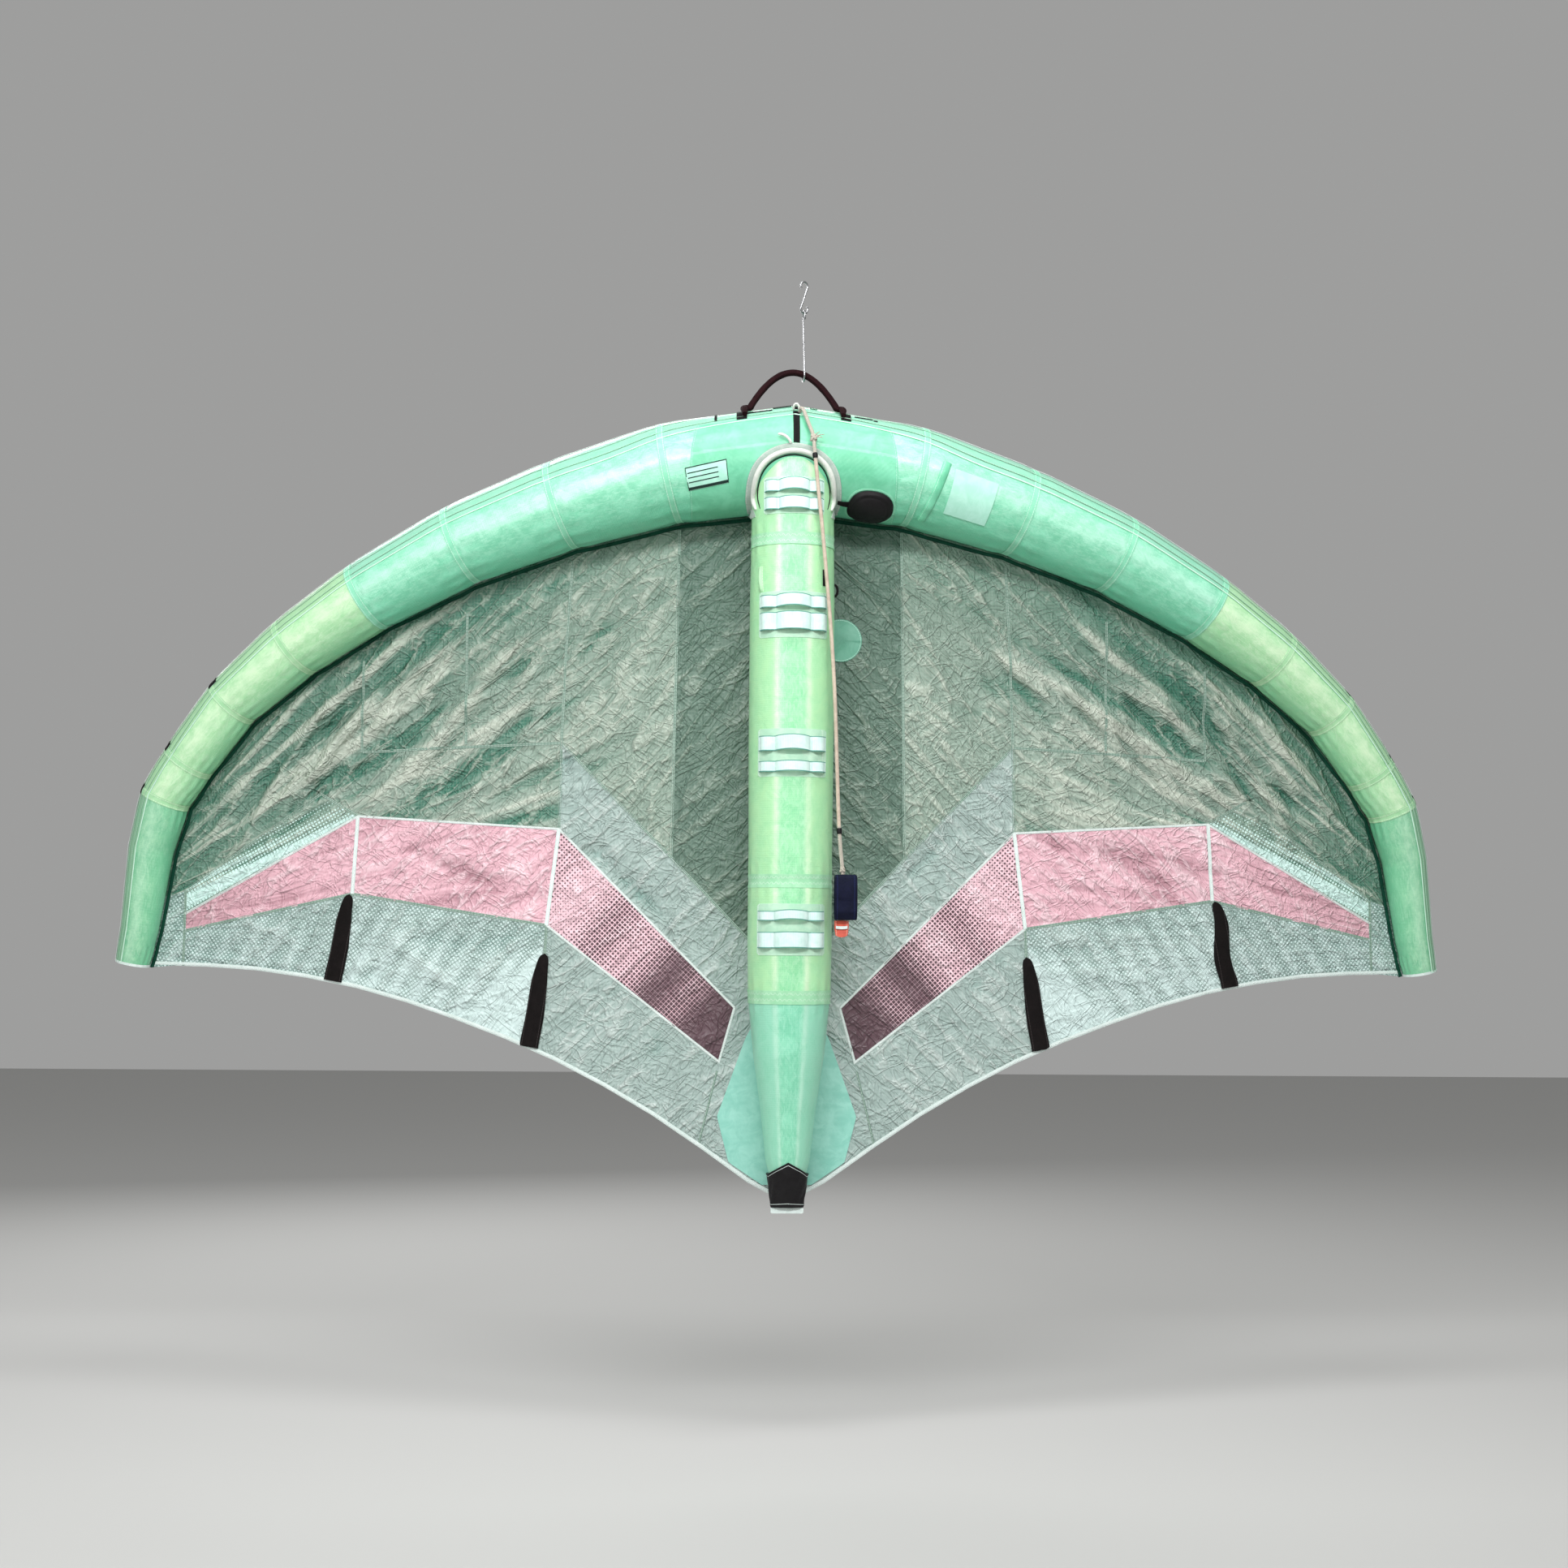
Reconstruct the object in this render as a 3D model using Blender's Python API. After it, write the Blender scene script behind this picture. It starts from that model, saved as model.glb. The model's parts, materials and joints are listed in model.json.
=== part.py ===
"""Hand-held inflatable wing, hung by its nose handle from two S-hooks.

The span runs along X, the wing hangs down -Z and its strut side faces -Y.
The origin is the inside top of the upper hook, where a rail carries the load.
Metres, Blender 4.5.
"""

import bisect
import math

import bmesh
import bpy
from mathutils import Vector

GAP = 0.0003
# Each side of a seam stands back this far.
SEAM = 0.00018
CLOTH = 0.002
HALF_SPAN = 1.487
TIP_BACK = 0.36
DIHEDRAL_POWER = 1.6
SHEET_CELL = 0.042
WIDE_CELL = 0.062

# Leading edge tube: centre and radius at each sewn joint, nose to tip.
LEADING_EDGE = (
    {"span": 0.000, "height": -0.380, "radius": 0.1100},
    {"span": 0.260, "height": -0.412, "radius": 0.1070},
    {"span": 0.492, "height": -0.477, "radius": 0.0966},
    {"span": 0.709, "height": -0.557, "radius": 0.0880},
    {"span": 0.917, "height": -0.664, "radius": 0.0790},
    {"span": 1.082, "height": -0.771, "radius": 0.0700},
    {"span": 1.225, "height": -0.889, "radius": 0.0620},
    {"span": 1.326, "height": -1.019, "radius": 0.0575},
    {"span": 1.380, "height": -1.100, "radius": 0.0555},
    {"span": 1.411, "height": -1.214, "radius": 0.0490},
    {"span": 1.434, "height": -1.391, "radius": 0.0410},
    {"span": 1.450, "height": -1.470, "radius": 0.0370},
)
# Joints that start and end each tube panel outboard of the nose panel.
TUBE_PANELS = ((1, 2), (2, 3), (3, 4), (4, 5), (5, 6), (6, 7), (7, 8), (8, 11))
TUBE_SIDES = 24
TUBE_WAIST = 0.985
TUBE_SWELL = 1.006
# The canopy is seated on the back of the tube, at shares of its radius.
CLOTH_SEAT = 0.70
CLOTH_LEAVES = 1.04
SEAT_ROWS = 2

# Trailing edge, tail to tip.
TRAILING_EDGE = (
    {"span": 0.000, "height": -1.952},
    {"span": 0.080, "height": -1.910},
    {"span": 0.180, "height": -1.8405},
    {"span": 0.284, "height": -1.773},
    {"span": 0.389, "height": -1.714},
    {"span": 0.494, "height": -1.662},
    {"span": 0.602, "height": -1.6175},
    {"span": 0.710, "height": -1.5785},
    {"span": 0.820, "height": -1.543},
    {"span": 0.932, "height": -1.514},
    {"span": 1.047, "height": -1.493},
    {"span": 1.163, "height": -1.4785},
    {"span": 1.281, "height": -1.472},
    {"span": 1.413, "height": -1.470},
)

# Corners where canopy panels meet, as span and height on one side.
CORNER = {
    "inner_seam_low": (0.250, -1.229),
    "outer_seam_low": (0.490, -0.983),
    "chevron_top": (0.000, -1.490),
    "chevron_low": (0.000, -1.600),
    "band_inner_top": (0.112, -1.547),
    "band_inner_low": (0.144, -1.661),
    "band_bend_top": (0.493, -1.169),
    "band_bend_low": (0.517, -1.376),
    "band_peak_top": (0.939, -1.141),
    "band_peak_low": (0.948, -1.311),
    "band_tip_top": (1.336, -1.357),
    "band_tip_low": (1.333, -1.394),
    "mesh_tip": (1.339, -1.307),
    "mesh_bend": (1.026, -1.091),
}
INNER_SEAM = 0.239
OUTER_SEAM = 0.470
TIP_PATCH = 1.336
OUTER_BATTEN = {"top": (0.954, -1.312), "foot": (0.9865, -1.503), "width": 0.041}
INNER_BATTEN = {"top": (0.519, -1.437), "foot": (0.550, -1.635), "width": 0.041}
BATTEN_THICK = 0.005
BATTEN_STANDOFF = 0.0005

LIFT_CENTRE = 0.0506
LIFT_TIP = 0.034
CAMBER = 0.030
TAIL_PULL = 0.0236
# Cloth lies this far off the back of the strut, and evens out beyond its width.
BACK_CLEAR = 0.0006
BACK_REACH = 0.16
TUBE_CLEAR = 0.0034

# Main folds of the loose cloth: ends as span and height on the named side,
# rise towards the strut side when positive, spread across the fold.
FOLDS = (
    {"side": -1, "start": (0.74, -0.66), "end": (1.16, -1.04), "rise": 0.011, "spread": 0.026},
    {"side": -1, "start": (0.70, -0.68), "end": (1.14, -1.06), "rise": -0.008, "spread": 0.018},
    {"side": -1, "start": (0.67, -0.71), "end": (1.15, -1.11), "rise": 0.010, "spread": 0.024},
    {"side": -1, "start": (0.62, -0.745), "end": (1.26, -1.205), "rise": 0.010, "spread": 0.022},
    {"side": -1, "start": (0.70, -0.87), "end": (1.08, -1.13), "rise": -0.009, "spread": 0.024},
    {"side": -1, "start": (0.49, -0.80), "end": (1.02, -1.06), "rise": 0.008, "spread": 0.022},
    {"side": -1, "start": (0.52, -0.965), "end": (0.87, -1.135), "rise": -0.009, "spread": 0.026},
    {"side": -1, "start": (0.41, -0.99), "end": (0.70, -1.125), "rise": -0.006, "spread": 0.026},
    {"side": -1, "start": (1.00, -0.80), "end": (1.29, -1.12), "rise": 0.009, "spread": 0.026},
    {"side": -1, "start": (0.58, -1.32), "end": (0.88, -1.19), "rise": -0.007, "spread": 0.028},
    {"side": -1, "start": (0.24, -1.38), "end": (0.44, -1.20), "rise": -0.006, "spread": 0.030},
    {"side": -1, "start": (0.66, -1.55), "end": (0.90, -1.38), "rise": 0.006, "spread": 0.030},
    {"side": -1, "start": (1.06, -1.42), "end": (1.28, -1.34), "rise": 0.005, "spread": 0.026},
    {"side": 1, "start": (0.43, -0.73), "end": (0.95, -1.11), "rise": 0.008, "spread": 0.024},
    {"side": 1, "start": (0.58, -0.83), "end": (1.04, -1.13), "rise": 0.011, "spread": 0.024},
    {"side": 1, "start": (0.60, -0.79), "end": (1.02, -1.05), "rise": -0.009, "spread": 0.022},
    {"side": 1, "start": (0.62, -0.69), "end": (0.88, -0.935), "rise": 0.010, "spread": 0.026},
    {"side": 1, "start": (0.84, -0.91), "end": (1.16, -1.21), "rise": 0.010, "spread": 0.024},
    {"side": 1, "start": (0.80, -0.80), "end": (1.24, -1.17), "rise": -0.008, "spread": 0.024},
    {"side": 1, "start": (0.90, -0.81), "end": (1.18, -1.08), "rise": 0.009, "spread": 0.024},
    {"side": 1, "start": (0.51, -0.98), "end": (0.82, -1.13), "rise": -0.009, "spread": 0.026},
    {"side": 1, "start": (1.04, -0.90), "end": (1.30, -1.17), "rise": 0.007, "spread": 0.024},
    {"side": 1, "start": (0.66, -1.19), "end": (0.90, -1.31), "rise": -0.007, "spread": 0.028},
    {"side": 1, "start": (0.22, -1.30), "end": (0.40, -1.14), "rise": -0.005, "spread": 0.030},
    {"side": 1, "start": (0.60, -1.46), "end": (0.84, -1.50), "rise": 0.006, "spread": 0.030},
)
FOLD_FREE = 0.055
FOLD_FULL = 0.110

# Strut tube: axis depth and radius down its length.
STRUT = (
    {"height": -0.385, "depth": -0.019, "radius": 0.0870},
    {"height": -0.450, "depth": -0.035, "radius": 0.0875},
    {"height": -0.571, "depth": -0.040, "radius": 0.0870},
    {"height": -0.700, "depth": -0.040, "radius": 0.0890},
    {"height": -1.000, "depth": -0.040, "radius": 0.0890},
    {"height": -1.281, "depth": -0.040, "radius": 0.0870},
    {"height": -1.400, "depth": -0.040, "radius": 0.0880},
    {"height": -1.520, "depth": -0.040, "radius": 0.0860},
    {"height": -1.640, "depth": -0.036, "radius": 0.0740},
    {"height": -1.760, "depth": -0.028, "radius": 0.0570},
    {"height": -1.862, "depth": -0.021, "radius": 0.0460},
)
STRUT_PANELS = {"strut_top": (0, 2), "strut_upper": (2, 5), "strut_lower": (5, 7), "strut_tail": (7, 10)}
STRUT_SIDES = 28
STRUT_WAIST = 0.988
STRUT_SEAT = 0.0006

COLLAR = {"apex": -0.370, "side": -0.484, "foot": -0.520, "half": 0.101, "foot_half": 0.092,
          "width": 0.019, "thick": 0.005, "clear": 0.0017}

# Webbing loop pairs on the strut: backing, its reach in degrees, and two straps by top and low edge.
WEBBING = (
    {"back": (-0.442, -0.520), "reach": 46.0, "upper": (-0.449, -0.474), "lower": (-0.486, -0.512)},
    {"back": (-0.683, -0.779), "reach": 52.0, "upper": (-0.691, -0.717), "lower": (-0.727, -0.764)},
    {"back": (-0.968, -1.067), "reach": 52.0, "upper": (-0.983, -1.014), "lower": (-1.035, -1.057)},
    {"back": (-1.328, -1.434), "reach": 52.0, "upper": (-1.343, -1.363), "lower": (-1.386, -1.419)},
)
WEB_BASE = 0.0008
WEB_BACK = 0.0015
WEB_STRAP = 0.0018
WEB_SINK = 0.0006
# Arches of a strap between its sewn places, as shares of the backing's reach.
WEB_ARCHES = (
    {"from": -0.87, "to": -0.52, "rise": 0.0075},
    {"from": -0.42, "to": 0.42, "rise": 0.0120},
    {"from": 0.52, "to": 0.87, "rise": 0.0075},
)
ARCH_STEPS = (0.0, 0.10, 0.5, 0.90, 1.0)
WEB_STRAP_END = 0.93

HANDLE = {"half": 0.094, "shoulder": -0.2805, "top": -0.195, "radius": 0.0085, "foot_radius": 0.0055,
          "foot_clear": 0.0021, "foot_turns": (-52.0, -63.0, -74.0)}
# The wing hangs a little to one side of its hooks.
WING_SHIFT = -0.022
HOOK_WIRE = 0.00225
HANDLE_SAG = 0.0077
HANDLE_UNDER = HANDLE["top"] - HANDLE_SAG - HANDLE["radius"] - GAP
UPPER_HOOK = {"inside_top": 0.0, "inside_low": -0.0635, "loop": 0.0100, "turn": 40.0}
LOWER_HOOK = {"inside_top": UPPER_HOOK["inside_low"] + GAP, "inside_low": HANDLE_UNDER,
              "loop": 0.0130, "turn": 96.0}

# Leash, nose to cuff, laid over the tube and down beside the strut.
LEASH_RADIUS = 0.004
LEASH_POINTS = (
    (0.0120, -0.0714, -0.2953),
    (0.0125, -0.0765, -0.2895),
    (0.0165, -0.0850, -0.2905),
    (0.0230, -0.0960, -0.3080),
    (0.0300, -0.1060, -0.3300),
    (0.038, -0.1190, -0.3560),
    (0.042, -0.1290, -0.4000),
    (0.049, -0.1290, -0.4700),
    (0.058, -0.1240, -0.5500),
    (0.067, -0.1180, -0.6400),
    (0.078, -0.1120, -0.7600),
    (0.087, -0.1080, -0.8950),
    (0.093, -0.1060, -1.0490),
    (0.098, -0.1080, -1.1740),
    (0.106, -0.1120, -1.2670),
)
CUFF = {"centre": (0.1120, -0.112, -1.3145), "wide": 0.046, "deep": 0.050, "tall": 0.094, "wall": 0.005}
TAB = {"span": 0.104, "wide": 0.030, "deep": 0.004, "tall": 0.034}
VALVE = {"span": 0.170, "half": 0.050, "from": 33.0, "to": 86.0, "seat": 0.0014, "rim": 0.003, "dome": 0.011}
TAIL_CAP = {"top": -1.8625, "low": -1.957, "half": 0.034, "half_deep": 0.011}
TAIL_STRAP = {"half": 0.034, "deep": 0.004, "tall": 0.012}

PAINTS = {
    "tube_mint": ((0.26, 0.80, 0.52), 0.45),
    "tube_lime": ((0.36, 0.86, 0.46), 0.45),
    "canopy_green": ((0.16, 0.26, 0.20), 0.55),
    "canopy_pale": ((0.36, 0.46, 0.42), 0.55),
    "canopy_mesh": ((0.48, 0.68, 0.62), 0.55),
    "band_pink": ((0.78, 0.42, 0.48), 0.55),
    "band_dotted": ((0.45, 0.20, 0.26), 0.55),
    "batten_black": ((0.010, 0.008, 0.010), 0.70),
    "webbing_pale": ((0.62, 0.92, 0.84), 0.60),
    "collar_grey": ((0.24, 0.30, 0.27), 0.60),
    "handle_maroon": ((0.035, 0.006, 0.010), 0.75),
    "hook_steel": ((0.62, 0.62, 0.64), 0.25),
    "leash_beige": ((0.55, 0.45, 0.38), 0.60),
    "cuff_navy": ((0.010, 0.012, 0.030), 0.65),
    "tab_red": ((0.70, 0.05, 0.03), 0.60),
    "rubber_black": ((0.012, 0.012, 0.012), 0.60),
}


def clearScene():
    for item in list(bpy.data.objects):
        bpy.data.objects.remove(item, do_unlink=True)


def paint(name):
    """The named material, made on first use."""
    found = bpy.data.materials.get(name)
    if found:
        return found
    colour, roughness = PAINTS[name]
    made = bpy.data.materials.new(name)
    made.use_nodes = True
    made.diffuse_color = (*colour, 1.0)
    shader = made.node_tree.nodes["Principled BSDF"]
    shader.inputs["Base Color"].default_value = (*colour, 1.0)
    shader.inputs["Roughness"].default_value = roughness
    shader.inputs["Metallic"].default_value = 1.0 if name == "hook_steel" else 0.0
    return made


def addObject(name, mesh, material, smooth=True):
    item = bpy.data.objects.new(name, mesh)
    item.location.x = WING_SHIFT
    bpy.context.scene.collection.objects.link(item)
    if smooth:
        mesh.shade_smooth()
        mesh.set_sharp_from_angle(angle=math.radians(50.0))
    if material:
        mesh.materials.append(paint(material))
    return item


def objectFromBmesh(name, bm, material, smooth=True):
    bmesh.ops.recalc_face_normals(bm, faces=bm.faces[:])
    mesh = bpy.data.meshes.new(name)
    bm.to_mesh(mesh)
    bm.free()
    return addObject(name, mesh, material, smooth)


def cutWith(target, cutter, operation="DIFFERENCE"):
    """Boolean kept live on the target; the cutter itself is not a piece."""
    cutter.hide_render = True
    cutter.display_type = "WIRE"
    modifier = target.modifiers.new("joint", "BOOLEAN")
    modifier.operation = operation
    modifier.object = cutter


def mix(a, b, t):
    return a + (b - a) * t


def clamp01(value):
    return max(0.0, min(1.0, value))


def smoothStep(low, high, value):
    t = clamp01((value - low) / (high - low))
    return t * t * (3.0 - 2.0 * t)


def dihedral(span):
    """How far back the wing stands at a distance out from its middle."""
    return TIP_BACK * (abs(span) / HALF_SPAN) ** DIHEDRAL_POWER


def trailingHeight(span):
    """Smooth curve through the trailing edge table."""
    spans = [row["span"] for row in TRAILING_EDGE]
    heights = [row["height"] for row in TRAILING_EDGE]
    last = len(spans) - 2
    low = max(0, min(last, bisect.bisect_right(spans, span) - 1))
    slopes = []
    for i in (low, low + 1):
        before, after = max(i - 1, 0), min(i + 1, len(spans) - 1)
        slopes.append((heights[after] - heights[before]) / (spans[after] - spans[before]))
    width = spans[low + 1] - spans[low]
    t = (span - spans[low]) / width
    rise = (2 * t ** 3 - 3 * t ** 2 + 1) * heights[low] + (3 * t ** 2 - 2 * t ** 3) * heights[low + 1]
    lean = (t ** 3 - 2 * t ** 2 + t) * slopes[0] + (t ** 3 - t ** 2) * slopes[1]
    return rise + lean * width


def tubeInward(index):
    """In the front view, the unit direction from a joint towards the canopy."""
    before = LEADING_EDGE[max(index - 1, 0)]
    after = LEADING_EDGE[min(index + 1, len(LEADING_EDGE) - 1)]
    if index == 0:
        return Vector((0.0, -1.0))
    along = Vector((after["span"] - before["span"], after["height"] - before["height"])).normalized()
    return Vector((along.y, -along.x))


def tubeInnerEdge(index, share):
    """Point of the front view that lies a share of the radius inside the tube's axis at a joint."""
    row = LEADING_EDGE[index]
    return Vector((row["span"], row["height"])) + tubeInward(index) * row["radius"] * share


def tubeAxis(index):
    row = LEADING_EDGE[index]
    return Vector((row["span"], dihedral(row["span"]), row["height"]))


def nearestTube(span, height):
    """Axis depth, radius and distance of the leading edge next to a point in the front view."""
    point = Vector((abs(span), height))
    best = None
    for low, high in zip(LEADING_EDGE, LEADING_EDGE[1:]):
        a = Vector((low["span"], low["height"]))
        b = Vector((high["span"], high["height"]))
        t = clamp01((point - a).dot(b - a) / (b - a).length_squared)
        away = (point - a.lerp(b, t)).length
        if best is None or away < best[2]:
            radius = mix(low["radius"], high["radius"], t)
            depth = mix(dihedral(low["span"]), dihedral(high["span"]), t)
            best = (depth, radius, away)
    return best


def distanceToLine(point, start, end):
    """Distance to a segment and how far along it the nearest point lies."""
    a, b, p = Vector(start), Vector(end), Vector(point)
    t = clamp01((p - a).dot(b - a) / (b - a).length_squared)
    return (p - a.lerp(b, t)).length, t


def foldDepth(x, z):
    """Sum of the main folds, stilled beside the strut and the battens."""
    total = 0.0
    for fold in FOLDS:
        if x * fold["side"] <= 0.0:
            continue
        away, t = distanceToLine((abs(x), z), fold["start"], fold["end"])
        ends = smoothStep(0.0, 0.22, t) * smoothStep(0.0, 0.22, 1.0 - t)
        total -= fold["rise"] * ends * math.exp(-((away / fold["spread"]) ** 2))
    still = smoothStep(0.12, 0.22, abs(x))
    for batten in (OUTER_BATTEN, INNER_BATTEN):
        away, _ = distanceToLine((abs(x), z), batten["top"], batten["foot"])
        still *= smoothStep(FOLD_FREE, FOLD_FULL, away)
    return total * still


def canopyDepth(x, z):
    """Middle of the canopy cloth: dihedral, camber, folds and room behind the tubes."""
    span = abs(x)
    share = span / HALF_SPAN
    top = -0.47 - 0.62 * share ** 2
    chord = max(0.1, top - trailingHeight(min(span, 1.41)))
    along = clamp01((top - z) / chord)
    depth = dihedral(span) + mix(LIFT_CENTRE, LIFT_TIP, share)
    depth += CAMBER * math.sin(math.pi * along) * smoothStep(0.10, 0.45, span) * max(0.0, 1.0 - share) ** 0.5
    depth -= TAIL_PULL * smoothStep(1.52, 1.86, -z) * math.exp(-((span / 0.36) ** 2))
    depth += foldDepth(x, z)
    if span < BACK_REACH:
        strutDepth, strutRadius = strutAt(z)
        back = strutDepth + strutRadius + BACK_CLEAR + 0.5 * CLOTH
        depth = max(depth, mix(back, depth, smoothStep(0.6, 1.0, span / BACK_REACH)))
    axisDepth, radius, away = nearestTube(span, z)
    clear = radius * TUBE_SWELL + TUBE_CLEAR
    if away < clear:
        depth = max(depth, axisDepth + math.sqrt(clear ** 2 - away ** 2) + 0.5 * CLOTH)
    return depth


def divide(corners, counts):
    """Points along straight legs, each leg cut into its own count."""
    points = [Vector(corners[0])]
    for start, end, count in zip(corners, corners[1:], counts):
        points += [Vector(start).lerp(Vector(end), (i + 1) / count) for i in range(count)]
    return points


def tubeEdge(start, end, count, share=CLOTH_LEAVES):
    """Points along the tube between two joint positions, such as 1.5, where the canopy leaves it."""
    points = []
    for i in range(count + 1):
        at = mix(start, end, i / count)
        low = min(int(at), len(LEADING_EDGE) - 2)
        points.append(tubeInnerEdge(low, share).lerp(tubeInnerEdge(low + 1, share), at - low))
    return points


def seatPatch(start, end, count):
    """Strip of canopy that lies against the back of the tube."""
    low = tubeEdge(start, end, count)
    high = tubeEdge(start, end, count, CLOTH_SEAT)
    left, right = divide((low[0], high[0]), (SEAT_ROWS,)), divide((low[-1], high[-1]), (SEAT_ROWS,))
    return patchGrid(low, high, left, right)


def trailingEdge(start, end, count):
    spans = [mix(start, end, i / count) for i in range(count + 1)]
    return [Vector((span, trailingHeight(span))) for span in spans]


def patchGrid(low, high, left, right):
    """Transfinite blend of four sides; low and high run left to right, left and right run up."""
    n, m = len(low) - 1, len(left) - 1
    grid = []
    for j in range(m + 1):
        v = j / m
        row = []
        for i in range(n + 1):
            u = i / n
            ruled = low[i] * (1 - v) + high[i] * v + left[j] * (1 - u) + right[j] * u
            below = low[0] * (1 - u) + low[n] * u
            above = high[0] * (1 - u) + high[n] * u
            row.append(ruled - below * (1 - v) - above * v)
        grid.append(row)
    return grid


def insetRim(bm, distance):
    """Move the flat outline inwards so that neighbouring panels stay apart."""
    moves = {}
    for edge in bm.edges:
        if not edge.is_boundary:
            continue
        face = edge.link_faces[0]
        middle = (edge.verts[0].co + edge.verts[1].co) / 2
        along = (edge.verts[1].co - edge.verts[0].co).normalized()
        inward = Vector((-along.z, 0.0, along.x))
        if inward.dot(face.calc_center_median() - middle) < 0:
            inward.negate()
        for vert in edge.verts:
            moves.setdefault(vert, []).append(inward)
    for vert, directions in moves.items():
        total = sum(directions, Vector())
        if total.length > 1e-6:
            unit = total.normalized()
            vert.co += unit * distance / max(0.5, unit.dot(directions[0]))


def clothSheet(name, patches, material, thickness=CLOTH, depth=canopyDepth, rim=SEAM):
    """One panel of cloth: flat patches welded, inset, set on the canopy and given thickness."""
    bm = bmesh.new()
    for grid in patches:
        verts = [[bm.verts.new((p.x, 0.0, p.y)) for p in row] for row in grid]
        for below, above in zip(verts, verts[1:]):
            for i in range(len(below) - 1):
                bm.faces.new((below[i], below[i + 1], above[i + 1], above[i]))
    bmesh.ops.remove_doubles(bm, verts=bm.verts[:], dist=0.0005)
    insetRim(bm, rim)
    for vert in bm.verts:
        vert.co.y = depth(vert.co.x, vert.co.z) - thickness / 2
    bmesh.ops.recalc_face_normals(bm, faces=bm.faces[:])
    skin = bmesh.ops.extrude_face_region(bm, geom=bm.faces[:])
    for item in skin["geom"]:
        if isinstance(item, bmesh.types.BMVert):
            item.co.y += thickness
    return objectFromBmesh(name, bm, material)


def mirrored(grid):
    return [[Vector((-p.x, p.y)) for p in row] for row in grid]


def cells(length, cell=SHEET_CELL):
    return max(1, round(length / cell))


def panelPatches():
    """The canopy's panels on the right side, and the panels that cross the middle."""
    c = CORNER
    down = cells(0.70, WIDE_CELL)
    edgeInner = jointAt(INNER_SEAM)
    edgeOuter = jointAt(OUTER_SEAM)
    half = cells(INNER_SEAM, WIDE_CELL)
    innerSeam = divide((c["inner_seam_low"], tubeEdge(edgeInner, edgeOuter, 1)[0]), (down,))
    centreLine = divide((c["chevron_top"], tubeEdge(0, 1, 1)[0]), (down,))
    chevronTop = divide((c["chevron_top"], c["inner_seam_low"]), (half,))
    centre = patchGrid(chevronTop, tubeEdge(0, edgeInner, half), centreLine, innerSeam)
    centreSeat = seatPatch(0, edgeInner, half)

    midWide = cells(0.235)
    outerUpper = cells(0.40)
    outerSeamTop = tubeEdge(edgeOuter, edgeOuter + 1, 1)[0]
    outerSeam = divide((c["outer_seam_low"], outerSeamTop), (down,))
    upperMid = patchGrid(divide((c["inner_seam_low"], c["outer_seam_low"]), (midWide,)),
                         tubeEdge(edgeInner, edgeOuter, midWide), innerSeam, outerSeam)
    midSeat = seatPatch(edgeInner, edgeOuter, midWide)

    bandCross = cells(0.19)
    longCounts = (cells(0.447), cells(0.10), cells(0.38))
    total = sum(longCounts)
    outerLeft = divide((c["band_bend_top"], c["outer_seam_low"], outerSeamTop), (bandCross, outerUpper))
    tipSeat = 9.55
    outerLow = divide((c["band_bend_top"], c["band_peak_top"], c["mesh_bend"], c["mesh_tip"]), longCounts)
    outerHigh = tubeEdge(edgeOuter, tipSeat, total)
    outerRight = divide((c["mesh_tip"], outerHigh[-1]), (bandCross + outerUpper,))
    upperOuter = patchGrid(outerLow, outerHigh, outerLeft, outerRight)
    outerSeat = seatPatch(edgeOuter, tipSeat, total)

    tipCross = 2
    meshLong = longCounts[1] + longCounts[2]
    mesh = patchGrid(divide((c["band_peak_top"], c["band_tip_top"]), (meshLong,)),
                     divide((c["band_peak_top"], c["mesh_bend"], c["mesh_tip"]), longCounts[1:]),
                     [Vector(c["band_peak_top"])] * (tipCross + 1),
                     divide((c["band_tip_top"], c["mesh_tip"]), (tipCross,)))

    pinkCross = cells(0.17)
    bandOuter = patchGrid(divide((c["band_peak_low"], c["band_tip_low"]), (meshLong,)),
                          divide((c["band_peak_top"], c["band_tip_top"]), (meshLong,)),
                          divide((c["band_peak_low"], c["band_peak_top"]), (pinkCross,)),
                          divide((c["band_tip_low"], c["band_tip_top"]), (pinkCross,)))
    bandMid = patchGrid(divide((c["band_bend_low"], c["band_peak_low"]), (longCounts[0],)),
                        divide((c["band_bend_top"], c["band_peak_top"]), (longCounts[0],)),
                        divide((c["band_bend_low"], c["band_bend_top"]), (pinkCross,)),
                        divide((c["band_peak_low"], c["band_peak_top"]), (pinkCross,)))
    dotLong = cells(0.50, 0.050)
    bandInner = patchGrid(divide((c["band_inner_low"], c["band_bend_low"]), (dotLong,)),
                          divide((c["band_inner_top"], c["band_bend_top"]), (dotLong,)),
                          divide((c["band_inner_low"], c["band_inner_top"]), (pinkCross,)),
                          divide((c["band_bend_low"], c["band_bend_top"]), (pinkCross,)))

    rest = cells(0.16)
    tailWide = cells(0.14, WIDE_CELL)
    chevronInner = patchGrid(divide((c["chevron_low"], c["band_inner_top"]), (tailWide,)),
                             divide((c["chevron_top"], c["inner_seam_low"]), (tailWide,)),
                             divide((c["chevron_low"], c["chevron_top"]), (rest,)),
                             divide((c["band_inner_top"], c["inner_seam_low"]), (rest,)))
    slope = cells(0.42)
    chevronOuter = patchGrid(divide((c["band_inner_top"], c["band_bend_top"]), (slope,)),
                             divide((c["inner_seam_low"], c["outer_seam_low"]), (slope,)),
                             divide((c["band_inner_top"], c["inner_seam_low"]), (rest,)),
                             divide((c["band_bend_top"], c["outer_seam_low"]), (rest,)))

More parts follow.
